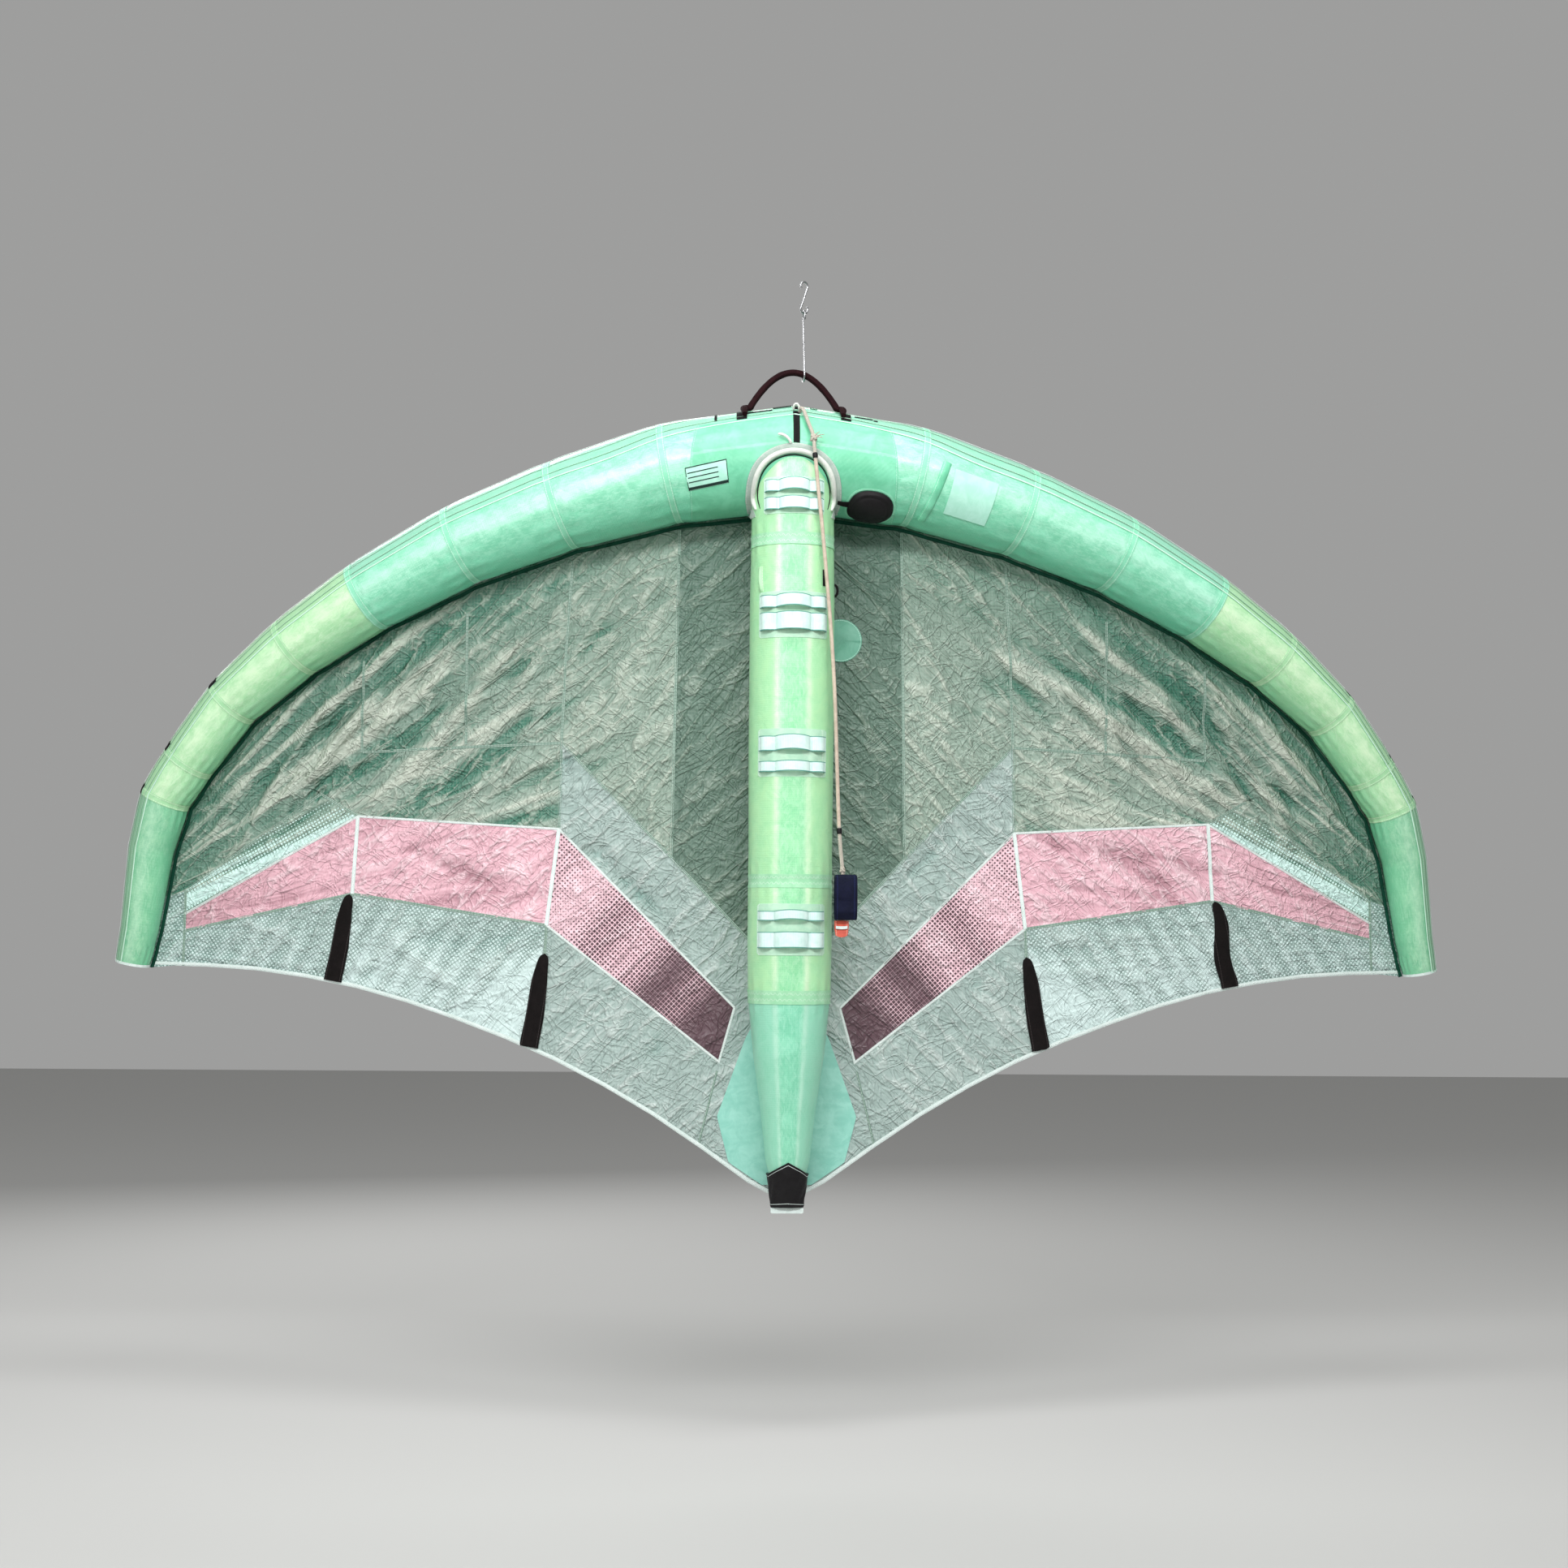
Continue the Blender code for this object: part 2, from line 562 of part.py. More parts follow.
    low = cells(0.17)
    feet = OUTER_BATTEN["foot"][0], INNER_BATTEN["foot"][0]
    trailOuter = patchGrid(trailingEdge(feet[0], TIP_PATCH, meshLong),
                           divide((c["band_peak_low"], c["band_tip_low"]), (meshLong,)),
                           divide(((feet[0], trailingHeight(feet[0])), c["band_peak_low"]), (low,)),
                           divide(((TIP_PATCH, trailingHeight(TIP_PATCH)), c["band_tip_low"]), (low,)))
    seats = tubeEdge(tipSeat, 11.0, 2 + low)
    tipLow = [seats[-1 - i] for i in range(low + 1)]
    tipHigh = [seats[2 - i] for i in range(3)]
    tipLower = patchGrid(divide(((TIP_PATCH, trailingHeight(TIP_PATCH)), seats[-1]), (2,)),
                         divide((c["band_tip_low"], seats[2]), (2,)),
                         divide(((TIP_PATCH, trailingHeight(TIP_PATCH)), c["band_tip_low"]), (low,)), tipLow)
    tipUpper = patchGrid(divide((c["band_tip_low"], seats[2]), (2,)), divide((c["mesh_tip"], seats[0]), (2,)),
                         divide((c["band_tip_low"], c["band_tip_top"], c["mesh_tip"]), (1, 1)), tipHigh)
    tipSeatPatch = seatPatch(tipSeat, 11.0, 2 + low)
    midDrop = cells(0.25, 0.050)
    trailMid = patchGrid(trailingEdge(feet[1], feet[0], longCounts[0]),
                         divide((c["band_bend_low"], c["band_peak_low"]), (longCounts[0],)),
                         divide(((feet[1], trailingHeight(feet[1])), c["band_bend_low"]), (midDrop,)),
                         divide(((feet[0], trailingHeight(feet[0])), c["band_peak_low"]), (midDrop,)))
    inner = CORNER["band_inner_low"][0]
    tailInner = patchGrid(trailingEdge(0.0, inner, tailWide),
                          divide((c["chevron_low"], c["band_inner_top"]), (tailWide,)),
                          divide(((0.0, trailingHeight(0.0)), c["chevron_low"]), (pinkCross + midDrop,)),
                          divide(((inner, trailingHeight(inner)), c["band_inner_low"], c["band_inner_top"]),
                                 (midDrop, pinkCross)))
    tailOuter = patchGrid(trailingEdge(inner, feet[1], dotLong),
                          divide((c["band_inner_low"], c["band_bend_low"]), (dotLong,)),
                          divide(((inner, trailingHeight(inner)), c["band_inner_low"]), (midDrop,)),
                          divide(((feet[1], trailingHeight(feet[1])), c["band_bend_low"]), (midDrop,)))
    sides = {
        "canopy_inner": ((upperMid, midSeat), "canopy_green"),
        "canopy_outer": ((upperOuter, outerSeat), "canopy_green"),
        "canopy_tip_mesh": ((mesh,), "canopy_mesh"),
        "band_outer": ((bandOuter,), "band_pink"),
        "band_middle": ((bandMid,), "band_pink"),
        "band_dotted": ((bandInner,), "band_dotted"),
        "trailing_outer": ((trailOuter, tipLower, tipUpper, tipSeatPatch), "canopy_pale"),
        "trailing_middle": ((trailMid,), "canopy_mesh"),
    }
    shared = {
        "canopy_centre": ((centre, centreSeat), "canopy_green"),
        "canopy_chevron": ((chevronInner, chevronOuter), "canopy_pale"),
        "trailing_centre": ((tailInner, tailOuter), "canopy_pale"),
    }
    return sides, shared


def jointAt(span):
    """Fractional joint position whose canopy seat lies at a span."""
    for index in range(len(LEADING_EDGE) - 1):
        low, high = tubeInnerEdge(index, CLOTH_LEAVES).x, tubeInnerEdge(index + 1, CLOTH_LEAVES).x
        if low <= span <= high:
            return index + (span - low) / (high - low)
    return float(len(LEADING_EDGE) - 1)


def addCanopy():
    sides, shared = panelPatches()
    for name, (patches, material) in shared.items():
        both = list(patches) + [mirrored(grid) for grid in patches]
        clothSheet(name, both, material)
    for name, (patches, material) in sides.items():
        clothSheet(name + "_right", patches, material)
        clothSheet(name + "_left", [mirrored(grid) for grid in patches], material)


def bridgeRings(bm, rings):
    """Skin a row of vertex rings and close both ends."""
    rows = [[bm.verts.new(point) for point in ring] for ring in rings]
    count = len(rows[0])
    for low, high in zip(rows, rows[1:]):
        for i in range(count):
            bm.faces.new((low[i], low[(i + 1) % count], high[(i + 1) % count], high[i]))
    bm.faces.new(rows[0][::-1])
    bm.faces.new(rows[-1])


def ringAround(centre, along, radius, sides):
    """Circle square to a direction, started from the front."""
    along = along.normalized()
    front = Vector((0.0, -1.0, 0.0))
    front = (front - along * front.dot(along)).normalized()
    across = along.cross(front)
    turns = [2 * math.pi * i / sides for i in range(sides)]
    return [centre + (front * math.cos(a) + across * math.sin(a)) * radius for a in turns]


def tubeRings(side, first, last, grow=0.0):
    """Rings of one tube panel, waisted at its joints and swollen between them."""
    stations = []
    points = [tubeAxis(i) for i in range(len(LEADING_EDGE))]
    mirror = Vector((-points[1].x, points[1].y, points[1].z))

    def direction(index):
        before = points[index - 1] if index > 0 else mirror
        after = points[index + 1] if index + 1 < len(points) else points[index]
        if index + 1 == len(points):
            return (points[index] - before).normalized()
        return ((after - points[index]).normalized() + (points[index] - before).normalized()).normalized()

    for index in range(first, last):
        for step in (0.0, 0.5):
            stations.append((index, step))
    stations.append((last - 1, 1.0))
    rings = []
    for index, step in stations:
        low, high = LEADING_EDGE[index], LEADING_EDGE[index + 1]
        centre = points[index].lerp(points[index + 1], step)
        along = direction(index).lerp(direction(index + 1), step).normalized()
        swell = TUBE_WAIST if step in (0.0, 1.0) and (index + round(step)) in (first, last) else TUBE_SWELL
        radius = mix(low["radius"], high["radius"], step) * swell + grow
        if (index, step) == stations[0]:
            centre = centre + along * SEAM
        if (index, step) == stations[-1]:
            centre = centre - along * SEAM
        ring = ringAround(centre, along, radius, TUBE_SIDES)
        rings.append([Vector((p.x * side, p.y, p.z)) for p in ring])
    return rings


def noseRings(grow=0.0):
    right = tubeRings(1, 0, 1, grow)[1:]
    left = tubeRings(-1, 0, 1, grow)[1:]
    middle = ringAround(tubeAxis(0), Vector((1.0, 0.0, 0.0)), LEADING_EDGE[0]["radius"] + grow, TUBE_SIDES)
    return left[::-1] + [middle] + right


def addLeadingEdge():
    bm = bmesh.new()
    bridgeRings(bm, noseRings())
    objectFromBmesh("leading_edge_nose", bm, "tube_mint")
    for number, (first, last) in enumerate(TUBE_PANELS, 1):
        material = "tube_mint" if last <= 4 else "tube_lime"
        for side, word in ((-1, "left"), (1, "right")):
            bm = bmesh.new()
            bridgeRings(bm, tubeRings(side, first, last))
            objectFromBmesh(f"leading_edge_{word}_{number}", bm, material)


def noseCutter():
    bm = bmesh.new()
    bridgeRings(bm, noseRings(STRUT_SEAT))
    return objectFromBmesh("strut_seat", bm, None)


def addStrut():
    for name, (first, last) in STRUT_PANELS.items():
        rings = []
        rows = STRUT[first:last + 1]
        for i, row in enumerate(rows):
            height = row["height"]
            end = i in (0, len(rows) - 1)
            radius = row["radius"] * (STRUT_WAIST if end and 0 < first + i < len(STRUT) - 1 else 1.0)
            if i == 0:
                height -= SEAM
            if i == len(rows) - 1:
                height += SEAM
            centre = Vector((0.0, row["depth"], height))
            rings.append(ringAround(centre, Vector((0.0, 0.0, -1.0)), radius, STRUT_SIDES))
        bm = bmesh.new()
        bridgeRings(bm, rings)
        item = objectFromBmesh(name, bm, "tube_lime")
        if name == "strut_top":
            cutWith(item, noseCutter())


def frontOf(x, z, clear):
    """Foremost depth of the nose tube and the strut, both grown by a clearance, in the front view."""
    depth, radius = strutAt(z)
    radius += clear
    span = abs(x)
    front = depth - math.sqrt(max(0.0, radius ** 2 - span ** 2))
    axisDepth, tube, away = nearestTube(x, z)
    tube = tube * TUBE_SWELL + clear
    return min(front, axisDepth - math.sqrt(max(0.0, tube ** 2 - away ** 2)))


def addCollar():
    """Arched binding where the strut joins the nose."""
    outline = [(COLLAR["foot_half"], COLLAR["foot"])]
    steps = 20
    for i in range(steps + 1):
        angle = math.radians(mix(90.0, -90.0, i / steps))
        rise = max(0.0, math.cos(angle)) ** 0.8
        outline.append((COLLAR["half"] * math.sin(angle), mix(COLLAR["side"], COLLAR["apex"], rise)))
    outline.append((-COLLAR["foot_half"], COLLAR["foot"]))
    sections = []
    last = len(outline) - 1
    for i, (x, z) in enumerate(outline):
        before, after = outline[max(i - 1, 0)], outline[min(i + 1, last)]
        along = Vector((after[0] - before[0], after[1] - before[1])).normalized()
        inward = Vector((-along.y, along.x))
        width = COLLAR["width"] * (0.35 if i in (0, last) else 1.0)
        under, over = [], []
        for share in (0.0, 0.33, 0.67, 1.0):
            px, pz = x + inward.x * width * share, z + inward.y * width * share
            y = frontOf(px, pz, COLLAR["clear"])
            under.append(Vector((px, y, pz)))
            over.append(Vector((px, y - COLLAR["thick"], pz)))
        sections.append(under + over[::-1])
    bm = bmesh.new()
    bridgeRings(bm, sections)
    objectFromBmesh("strut_collar", bm, "collar_grey")


def strutAt(height):
    """Strut axis depth and radius at a height."""
    for low, high in zip(STRUT, STRUT[1:]):
        if high["height"] <= height <= low["height"]:
            t = (low["height"] - height) / (low["height"] - high["height"])
            return mix(low["depth"], high["depth"], t), mix(low["radius"], high["radius"], t)
    return STRUT[-1]["depth"], STRUT[-1]["radius"]


def strutPoint(angle, height, offset):
    """Point over the strut's front, an angle round from the middle."""
    depth, radius = strutAt(height)
    turn = math.radians(angle)
    reach = radius + offset
    return Vector((reach * math.sin(turn), depth - reach * math.cos(turn), height))


def strapOffsets(reach):
    """Angles and rises of a strap sewn down between its arches."""
    rows = [(-WEB_STRAP_END * reach, 0.0)]
    for arch in WEB_ARCHES:
        for t in ARCH_STEPS:
            rows.append((mix(arch["from"], arch["to"], t) * reach, arch["rise"] * math.sin(math.pi * t) ** 0.5))
    rows.append((WEB_STRAP_END * reach, 0.0))
    return rows


def curvedBlock(name, spans, low, high, thickness, material):
    """Block bent round the strut: spans gives angle and inner offset pairs."""
    bm = bmesh.new()
    heights = [high] + [row["height"] for row in STRUT if low < row["height"] < high] + [low]
    sections = []
    for angle, offset in spans:
        under = [strutPoint(angle, height, offset) for height in heights]
        over = [strutPoint(angle, height, offset + thickness) for height in heights]
        sections.append(under + over[::-1])
    bridgeRings(bm, sections)
    return objectFromBmesh(name, bm, material)


def addWebbing():
    for number, pair in enumerate(WEBBING, 1):
        reach = pair["reach"]
        plate = [(mix(-reach, reach, i / 10), WEB_BASE) for i in range(11)]
        item = curvedBlock(f"strut_loops_{number}", plate, pair["back"][1], pair["back"][0], WEB_BACK,
                           "webbing_pale")
        straps = [(angle, WEB_BASE + WEB_BACK - WEB_SINK + rise) for angle, rise in strapOffsets(reach)]
        for part in ("upper", "lower"):
            strap = curvedBlock(f"strap_{part}_{number}", straps, pair[part][1], pair[part][0], WEB_STRAP, None)
            cutWith(item, strap, "UNION")


def addBattens():
    for word, batten in (("outer", OUTER_BATTEN), ("inner", INNER_BATTEN)):
        top, foot = Vector(batten["top"]), Vector(batten["foot"])
        foot = Vector((foot.x, trailingHeight(foot.x) + 0.004))
        along = (foot - top).normalized()
        across = Vector((-along.y, along.x)) * batten["width"] / 2
        rows = []
        for i in range(9):
            t = (i / 8) ** 1.4
            wide = min(1.0, math.sqrt(t * 5.0 + 0.02))
            rows.append([top.lerp(foot, t) + across * (wide * side) for side in (-1.0, 0.0, 1.0)])
        for side in (-1, 1):
            grid = [[Vector((p.x * side, p.y)) for p in row] for row in rows]
            lift = 0.5 * (CLOTH + BATTEN_THICK) + BATTEN_STANDOFF
            clothSheet(f"batten_{word}_{'right' if side > 0 else 'left'}", [grid], "batten_black",
                       BATTEN_THICK, lambda x, z: canopyDepth(x, z) - lift)


def sweep(name, points, radii, sides, material):
    """Round section carried along a path without twisting."""
    rings = []
    reference = None
    for i, point in enumerate(points):
        along = (points[min(i + 1, len(points) - 1)] - points[max(i - 1, 0)]).normalized()
        if reference is None:
            reference = along.orthogonal().normalized()
        reference = (reference - along * reference.dot(along)).normalized()
        across = along.cross(reference)
        turns = [2 * math.pi * k / sides for k in range(sides)]
        rings.append([point + (reference * math.cos(a) + across * math.sin(a)) * radii[i] for a in turns])
    bm = bmesh.new()
    bridgeRings(bm, rings)
    return objectFromBmesh(name, bm, material)


def addHandle():
    """Padded grip bowed over the nose, its feet sewn down on the front of the tube."""
    radius, footRadius = HANDLE["radius"], HANDLE["foot_radius"]
    foot = [tubePoint(HANDLE["half"], turn, footRadius + HANDLE["foot_clear"]) for turn in HANDLE["foot_turns"]]
    points = [Vector((-p.x, p.y, p.z)) for p in foot]
    radii = [footRadius] * len(foot)
    steps = 14
    for i in range(1, steps):
        angle = math.pi * (1.0 - i / steps)
        rise = math.sin(angle) ** 2
        x = HANDLE["half"] * math.cos(angle)
        points.append(Vector((x, mix(foot[-1].y, 0.0, rise), mix(HANDLE["shoulder"], HANDLE["top"], rise))))
        radii.append(mix(footRadius, radius, rise))
    points += foot[::-1]
    radii += [footRadius] * len(foot)
    sweep("nose_handle", points, radii, 10, "handle_maroon")


def hookPath(hook):
    """S of two round loops, open on opposite sides, in the hook's own plane."""
    loop = hook["loop"]
    inside = loop - HOOK_WIRE
    middle = []
    for centre, start, end in ((hook["inside_top"] - inside, 215.0, 0.0),
                               (hook["inside_low"] + inside, 180.0, 395.0)):
        for i in range(10):
            angle = math.radians(mix(start, end, i / 9))
            middle.append((loop * math.cos(angle), centre + loop * math.sin(angle)))
    turn = math.radians(hook["turn"])
    return [Vector((u * math.cos(turn), u * math.sin(turn), z)) for u, z in middle]


def addHooks():
    for name, hook in (("hook_upper", UPPER_HOOK), ("hook_lower", LOWER_HOOK)):
        points = hookPath(hook)
        item = sweep(name, points, [HOOK_WIRE] * len(points), 8, "hook_steel")
        item.location.x = 0.0


def smoothRoute(points, spacing):
    """Even points on a Catmull-Rom curve through the route."""
    knots = [Vector(p) for p in points]
    knots = [knots[0] * 2 - knots[1]] + knots + [knots[-1] * 2 - knots[-2]]
    fine = []
    for a, b, c, d in zip(knots, knots[1:], knots[2:], knots[3:]):
        for i in range(12):
            t = i / 12
            fine.append(0.5 * (b * 2 + (c - a) * t + (a * 2 - b * 5 + c * 4 - d) * t * t
                               + (b * 3 - a - c * 3 + d) * t ** 3))
    fine.append(knots[-2])
    total = sum((q - p).length for p, q in zip(fine, fine[1:]))
    count = round(total / spacing)
    even, travelled, want = [fine[0]], 0.0, total / count
    for p, q in zip(fine, fine[1:]):
        step = (q - p).length
        while travelled + step >= want * len(even) - 1e-9 and len(even) < count:
            even.append(p.lerp(q, (want * len(even) - travelled) / step))
        travelled += step
    even.append(fine[-1])
    return even


def addLeash():
    route = smoothRoute(LEASH_POINTS, LEASH_RADIUS * 6.0)
    curve = bpy.data.curves.new("leash_line", "CURVE")
    curve.dimensions = "3D"
    curve.bevel_depth = LEASH_RADIUS
    curve.bevel_resolution = 2
    curve.use_fill_caps = True
    spline = curve.splines.new("POLY")
    spline.points.add(len(route) - 1)
    for point, place in zip(spline.points, route):
        point.co = (*place, 1.0)
    curve.materials.append(paint("leash_beige"))
    line = bpy.data.objects.new("leash_line", curve)
    line.location.x = WING_SHIFT
    bpy.context.scene.collection.objects.link(line)
    addCuff()
    low = CUFF["centre"][2] - CUFF["tall"] / 2 - GAP - TAB["tall"] / 2
    addBox("leash_tab", (TAB["span"], CUFF["centre"][1], low), (TAB["wide"], TAB["deep"], TAB["tall"]),
           "tab_red", 0.0015)


def addCuff():
    """Flattened wrist band, open through along X."""
    steps = 24

    def outline(half_deep, half_tall):
        points = []
        for i in range(steps):
            angle = 2 * math.pi * i / steps
            cosine, sine = math.cos(angle), math.sin(angle)
            y = half_deep * math.copysign(abs(cosine) ** 0.7, cosine)
            z = half_tall * math.copysign(abs(sine) ** 0.7, sine)
            points.append((y, z))
        return points

    centre = Vector(CUFF["centre"])
    outer = outline(CUFF["deep"] / 2, CUFF["tall"] / 2)
    inner = outline(CUFF["deep"] / 2 - CUFF["wall"], CUFF["tall"] / 2 - CUFF["wall"])
    half = CUFF["wide"] / 2
    bm = bmesh.new()
    loops = []
    for x, outlinePoints in ((-half, outer), (half, outer), (half, inner), (-half, inner)):
        loops.append([bm.verts.new(centre + Vector((x, y, z))) for y, z in outlinePoints])
    for low, high in zip(loops, loops[1:] + loops[:1]):
        for i in range(steps):
            bm.faces.new((low[i], low[(i + 1) % steps], high[(i + 1) % steps], high[i]))
    objectFromBmesh("leash_cuff", bm, "cuff_navy")


def addBox(name, centre, size, material, bevel):
    bm = bmesh.new()
    bmesh.ops.create_cube(bm, size=1.0)
    for vert in bm.verts:
        vert.co = Vector(centre) + Vector([vert.co[i] * size[i] for i in range(3)])
    bmesh.ops.bevel(bm, geom=bm.edges[:], offset=bevel, segments=1, affect="EDGES")
    return objectFromBmesh(name, bm, material)


def tubePoint(span, angle, offset):
    """Point over the nose tube; the angle turns from the front down to the canopy side."""
    low, high = LEADING_EDGE[0], LEADING_EDGE[1]
    t = span / high["span"]
    radius = mix(low["radius"], high["radius"], t) + offset
    turn = math.radians(angle)
    height = mix(low["height"], high["height"], t) - radius * math.sin(turn)
    return Vector((span, mix(0.0, dihedral(high["span"]), t) - radius * math.cos(turn), height))


def addValve():
    """Domed flap over the inflation valve."""
    bm = bmesh.new()
    rings, sides = 3, 20
    layers = []
    for offset, dome in ((VALVE["seat"], 0.0), (VALVE["seat"] + VALVE["rim"], VALVE["dome"])):
        rows = []
        for k in range(1, rings + 1):
            reach = k / rings
            row = []
            for i in range(sides):
                a = 2 * math.pi * i / sides
                span = VALVE["span"] + VALVE["half"] * reach * math.cos(a)
                middle = (VALVE["from"] + VALVE["to"]) / 2
                angle = middle + (VALVE["to"] - VALVE["from"]) / 2 * reach * math.sin(a)
                row.append(bm.verts.new(tubePoint(span, angle, offset + dome * (1.0 - reach ** 2))))
            rows.append(row)
        centre = bm.verts.new(tubePoint(VALVE["span"], (VALVE["from"] + VALVE["to"]) / 2, offset + dome))
        layers.append((centre, rows))
    for centre, rows in layers:
        for i in range(sides):
            bm.faces.new((centre, rows[0][i], rows[0][(i + 1) % sides]))
        for low, high in zip(rows, rows[1:]):
            for i in range(sides):
                bm.faces.new((low[i], high[i], high[(i + 1) % sides], low[(i + 1) % sides]))
    under, over = layers[0][1][-1], layers[1][1][-1]
    for i in range(sides):
        bm.faces.new((under[i], over[i], over[(i + 1) % sides], under[(i + 1) % sides]))
    objectFromBmesh("valve_flap", bm, "rubber_black")


def addTail():
    """Sewn cap that flattens the strut's end, and the strap under it."""
    rings = []
    for i in range(5):
        t = i / 4
        height = mix(TAIL_CAP["top"], TAIL_CAP["low"], t)
        wide = mix(STRUT[-1]["radius"] + 0.001, TAIL_CAP["half"], t)
        deep = mix(STRUT[-1]["radius"], TAIL_CAP["half_deep"], t ** 0.8)
        depth = STRUT[-1]["depth"] + 0.002 * t
        ring = []
        for k in range(20):
            a = 2 * math.pi * k / 20
            ring.append(Vector((wide * math.sin(a), depth - deep * math.cos(a), height)))
        rings.append(ring)
    bm = bmesh.new()
    bridgeRings(bm, rings)
    objectFromBmesh("tail_cap", bm, "rubber_black")
    height = TAIL_CAP["low"] - GAP - TAIL_STRAP["tall"] / 2
    size = (2 * TAIL_STRAP["half"], TAIL_STRAP["deep"], TAIL_STRAP["tall"])
    addBox("tail_strap", (0.0, STRUT[-1]["depth"], height), size, "webbing_pale", 0.0008)


def build():
    clearScene()
    addLeadingEdge()
    addStrut()
    addCollar()
    addCanopy()
    addBattens()
    addWebbing()
    addHandle()
    addHooks()
    addLeash()
    addValve()
    addTail()


build()
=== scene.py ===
import json
import math
import random

import bpy
import numpy as np
from mathutils import Matrix, Vector
from mathutils.bvhtree import BVHTree

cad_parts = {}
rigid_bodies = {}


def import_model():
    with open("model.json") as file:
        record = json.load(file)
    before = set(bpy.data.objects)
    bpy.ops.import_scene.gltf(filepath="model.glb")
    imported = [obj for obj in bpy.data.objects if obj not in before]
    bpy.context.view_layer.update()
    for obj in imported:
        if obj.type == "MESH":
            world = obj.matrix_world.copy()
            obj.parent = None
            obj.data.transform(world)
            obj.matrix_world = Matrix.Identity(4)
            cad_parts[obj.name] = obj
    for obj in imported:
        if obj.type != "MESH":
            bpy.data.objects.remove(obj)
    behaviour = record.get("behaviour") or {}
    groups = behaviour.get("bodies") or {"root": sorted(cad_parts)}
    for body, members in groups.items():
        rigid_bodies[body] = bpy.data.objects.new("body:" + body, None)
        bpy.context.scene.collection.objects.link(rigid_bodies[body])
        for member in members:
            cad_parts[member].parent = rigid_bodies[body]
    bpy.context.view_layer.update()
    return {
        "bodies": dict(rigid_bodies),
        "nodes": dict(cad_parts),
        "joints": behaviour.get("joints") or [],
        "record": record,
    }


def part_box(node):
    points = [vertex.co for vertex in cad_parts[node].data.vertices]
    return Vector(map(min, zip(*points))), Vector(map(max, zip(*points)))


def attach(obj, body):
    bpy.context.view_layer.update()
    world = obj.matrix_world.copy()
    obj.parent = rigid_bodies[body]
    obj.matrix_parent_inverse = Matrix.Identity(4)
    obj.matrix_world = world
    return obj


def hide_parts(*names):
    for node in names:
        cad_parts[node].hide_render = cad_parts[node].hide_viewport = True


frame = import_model()
cad = frame["nodes"]
bpy.ops.object.select_all(action="DESELECT")

low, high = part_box("strut_upper")
wingX = (low.x + high.x) / 2  # the wing hangs a little to one side of its hooks
random.seed(7)


def mix(a, b, t):
    return a + (b - a) * t


def clamp01(value):
    return max(0.0, min(1.0, value))


def smoothStep(start, end, value):
    t = clamp01((value - start) / (end - start))
    return t * t * (3.0 - 2.0 * t)


def bell(distance, width):
    return math.exp(-((distance / width) ** 2))


def unselect():
    bpy.ops.object.select_all(action="DESELECT")


def pickMesh(action="SELECT"):
    bpy.ops.mesh.select_all(action=action)


def setMode(mode):
    bpy.ops.object.mode_set(mode=mode)


def select(item):
    unselect()
    item.select_set(True)
    bpy.context.view_layer.objects.active = item


def finish(item, paint, slotName, replaced=None):
    item.data.materials.clear()
    item.data.materials.append(paints[paint])
    select(item)
    bpy.ops.object.shade_smooth_by_angle(angle=math.radians(50))
    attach(item, "root")
    if replaced:
        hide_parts(replaced)
    unselect()
    return item


def addMarks(item, word, values):
    item.data.attributes.new(word, "FLOAT", "POINT").data.foreach_set("value", values)


# A flat grid wrapped over a surface: place(u, v) gives each point, size is its width and length in metres
def wrapGrid(name, across, along, place, size, closed=False, capped=False, thick=0.0, tints=None,
             swapped=False):
    unselect()
    bpy.ops.mesh.primitive_grid_add(x_subdivisions=across, y_subdivisions=along, size=2.0)
    item = bpy.context.object
    item.name = item.data.name = name
    spots = [((v.co.x + 1.0) / 2.0, (v.co.y + 1.0) / 2.0) for v in item.data.vertices]
    for vert, (u, v) in zip(item.data.vertices, spots):
        vert.co = place(u, v)
    for word, tint in (tints or {}).items():
        addMarks(item, word, [tint(u, v) for u, v in spots])
    layer = item.data.uv_layers.active.data
    for loop in item.data.loops:
        u, v = spots[loop.vertex_index]
        layer[loop.index].uv = (v * size[1], u * size[0]) if swapped else (u * size[0], v * size[1])
    setMode("EDIT")
    pickMesh()
    if closed:
        bpy.ops.mesh.remove_doubles(threshold=0.00002)
    if capped:
        pickMesh("DESELECT")
        bpy.ops.mesh.select_mode(type="EDGE")
        bpy.ops.mesh.select_non_manifold()
        bpy.ops.mesh.fill_holes(sides=0)
        pickMesh()
    if closed:
        bpy.ops.mesh.normals_make_consistent(inside=False)
    setMode("OBJECT")
    if thick:
        addThickness(item, thick)
    return item


def wrapPiece(name, across, along, place, size, paint, slotName, replaced=None, **more):
    return finish(wrapGrid(name, across, along, place, size, **more), paint, slotName, replaced)


def addThickness(item, thick, offset=1.0):
    select(item)
    wall = item.modifiers.new("Wall", "SOLIDIFY")
    wall.thickness = thick
    wall.offset = offset
    wall.use_even_offset = False
    bpy.ops.object.modifier_apply(modifier="Wall")


def treeOf(items):
    verts, faces = [], []
    for item in items:
        start = len(verts)
        verts += [v.co.copy() for v in item.data.vertices]
        faces += [[start + i for i in p.vertices] for p in item.data.polygons]
    return BVHTree.FromPolygons(verts, faces)


# Quads between rows of points, each row one point longer than it is across
def gridFaces(start, rows, across, flip):
    faces = []
    for i in range(rows):
        for k in range(across):
            a = start + i * (across + 1) + k
            face = (a, a + 1, a + across + 2, a + across + 1)
            faces.append(face[::-1] if flip else face)
    return faces


# Shader helpers: a socket is linked, any other value is set
def feed(tree, socket, value):
    if isinstance(value, bpy.types.NodeSocket):
        tree.links.new(value, socket)
    else:
        socket.default_value = value


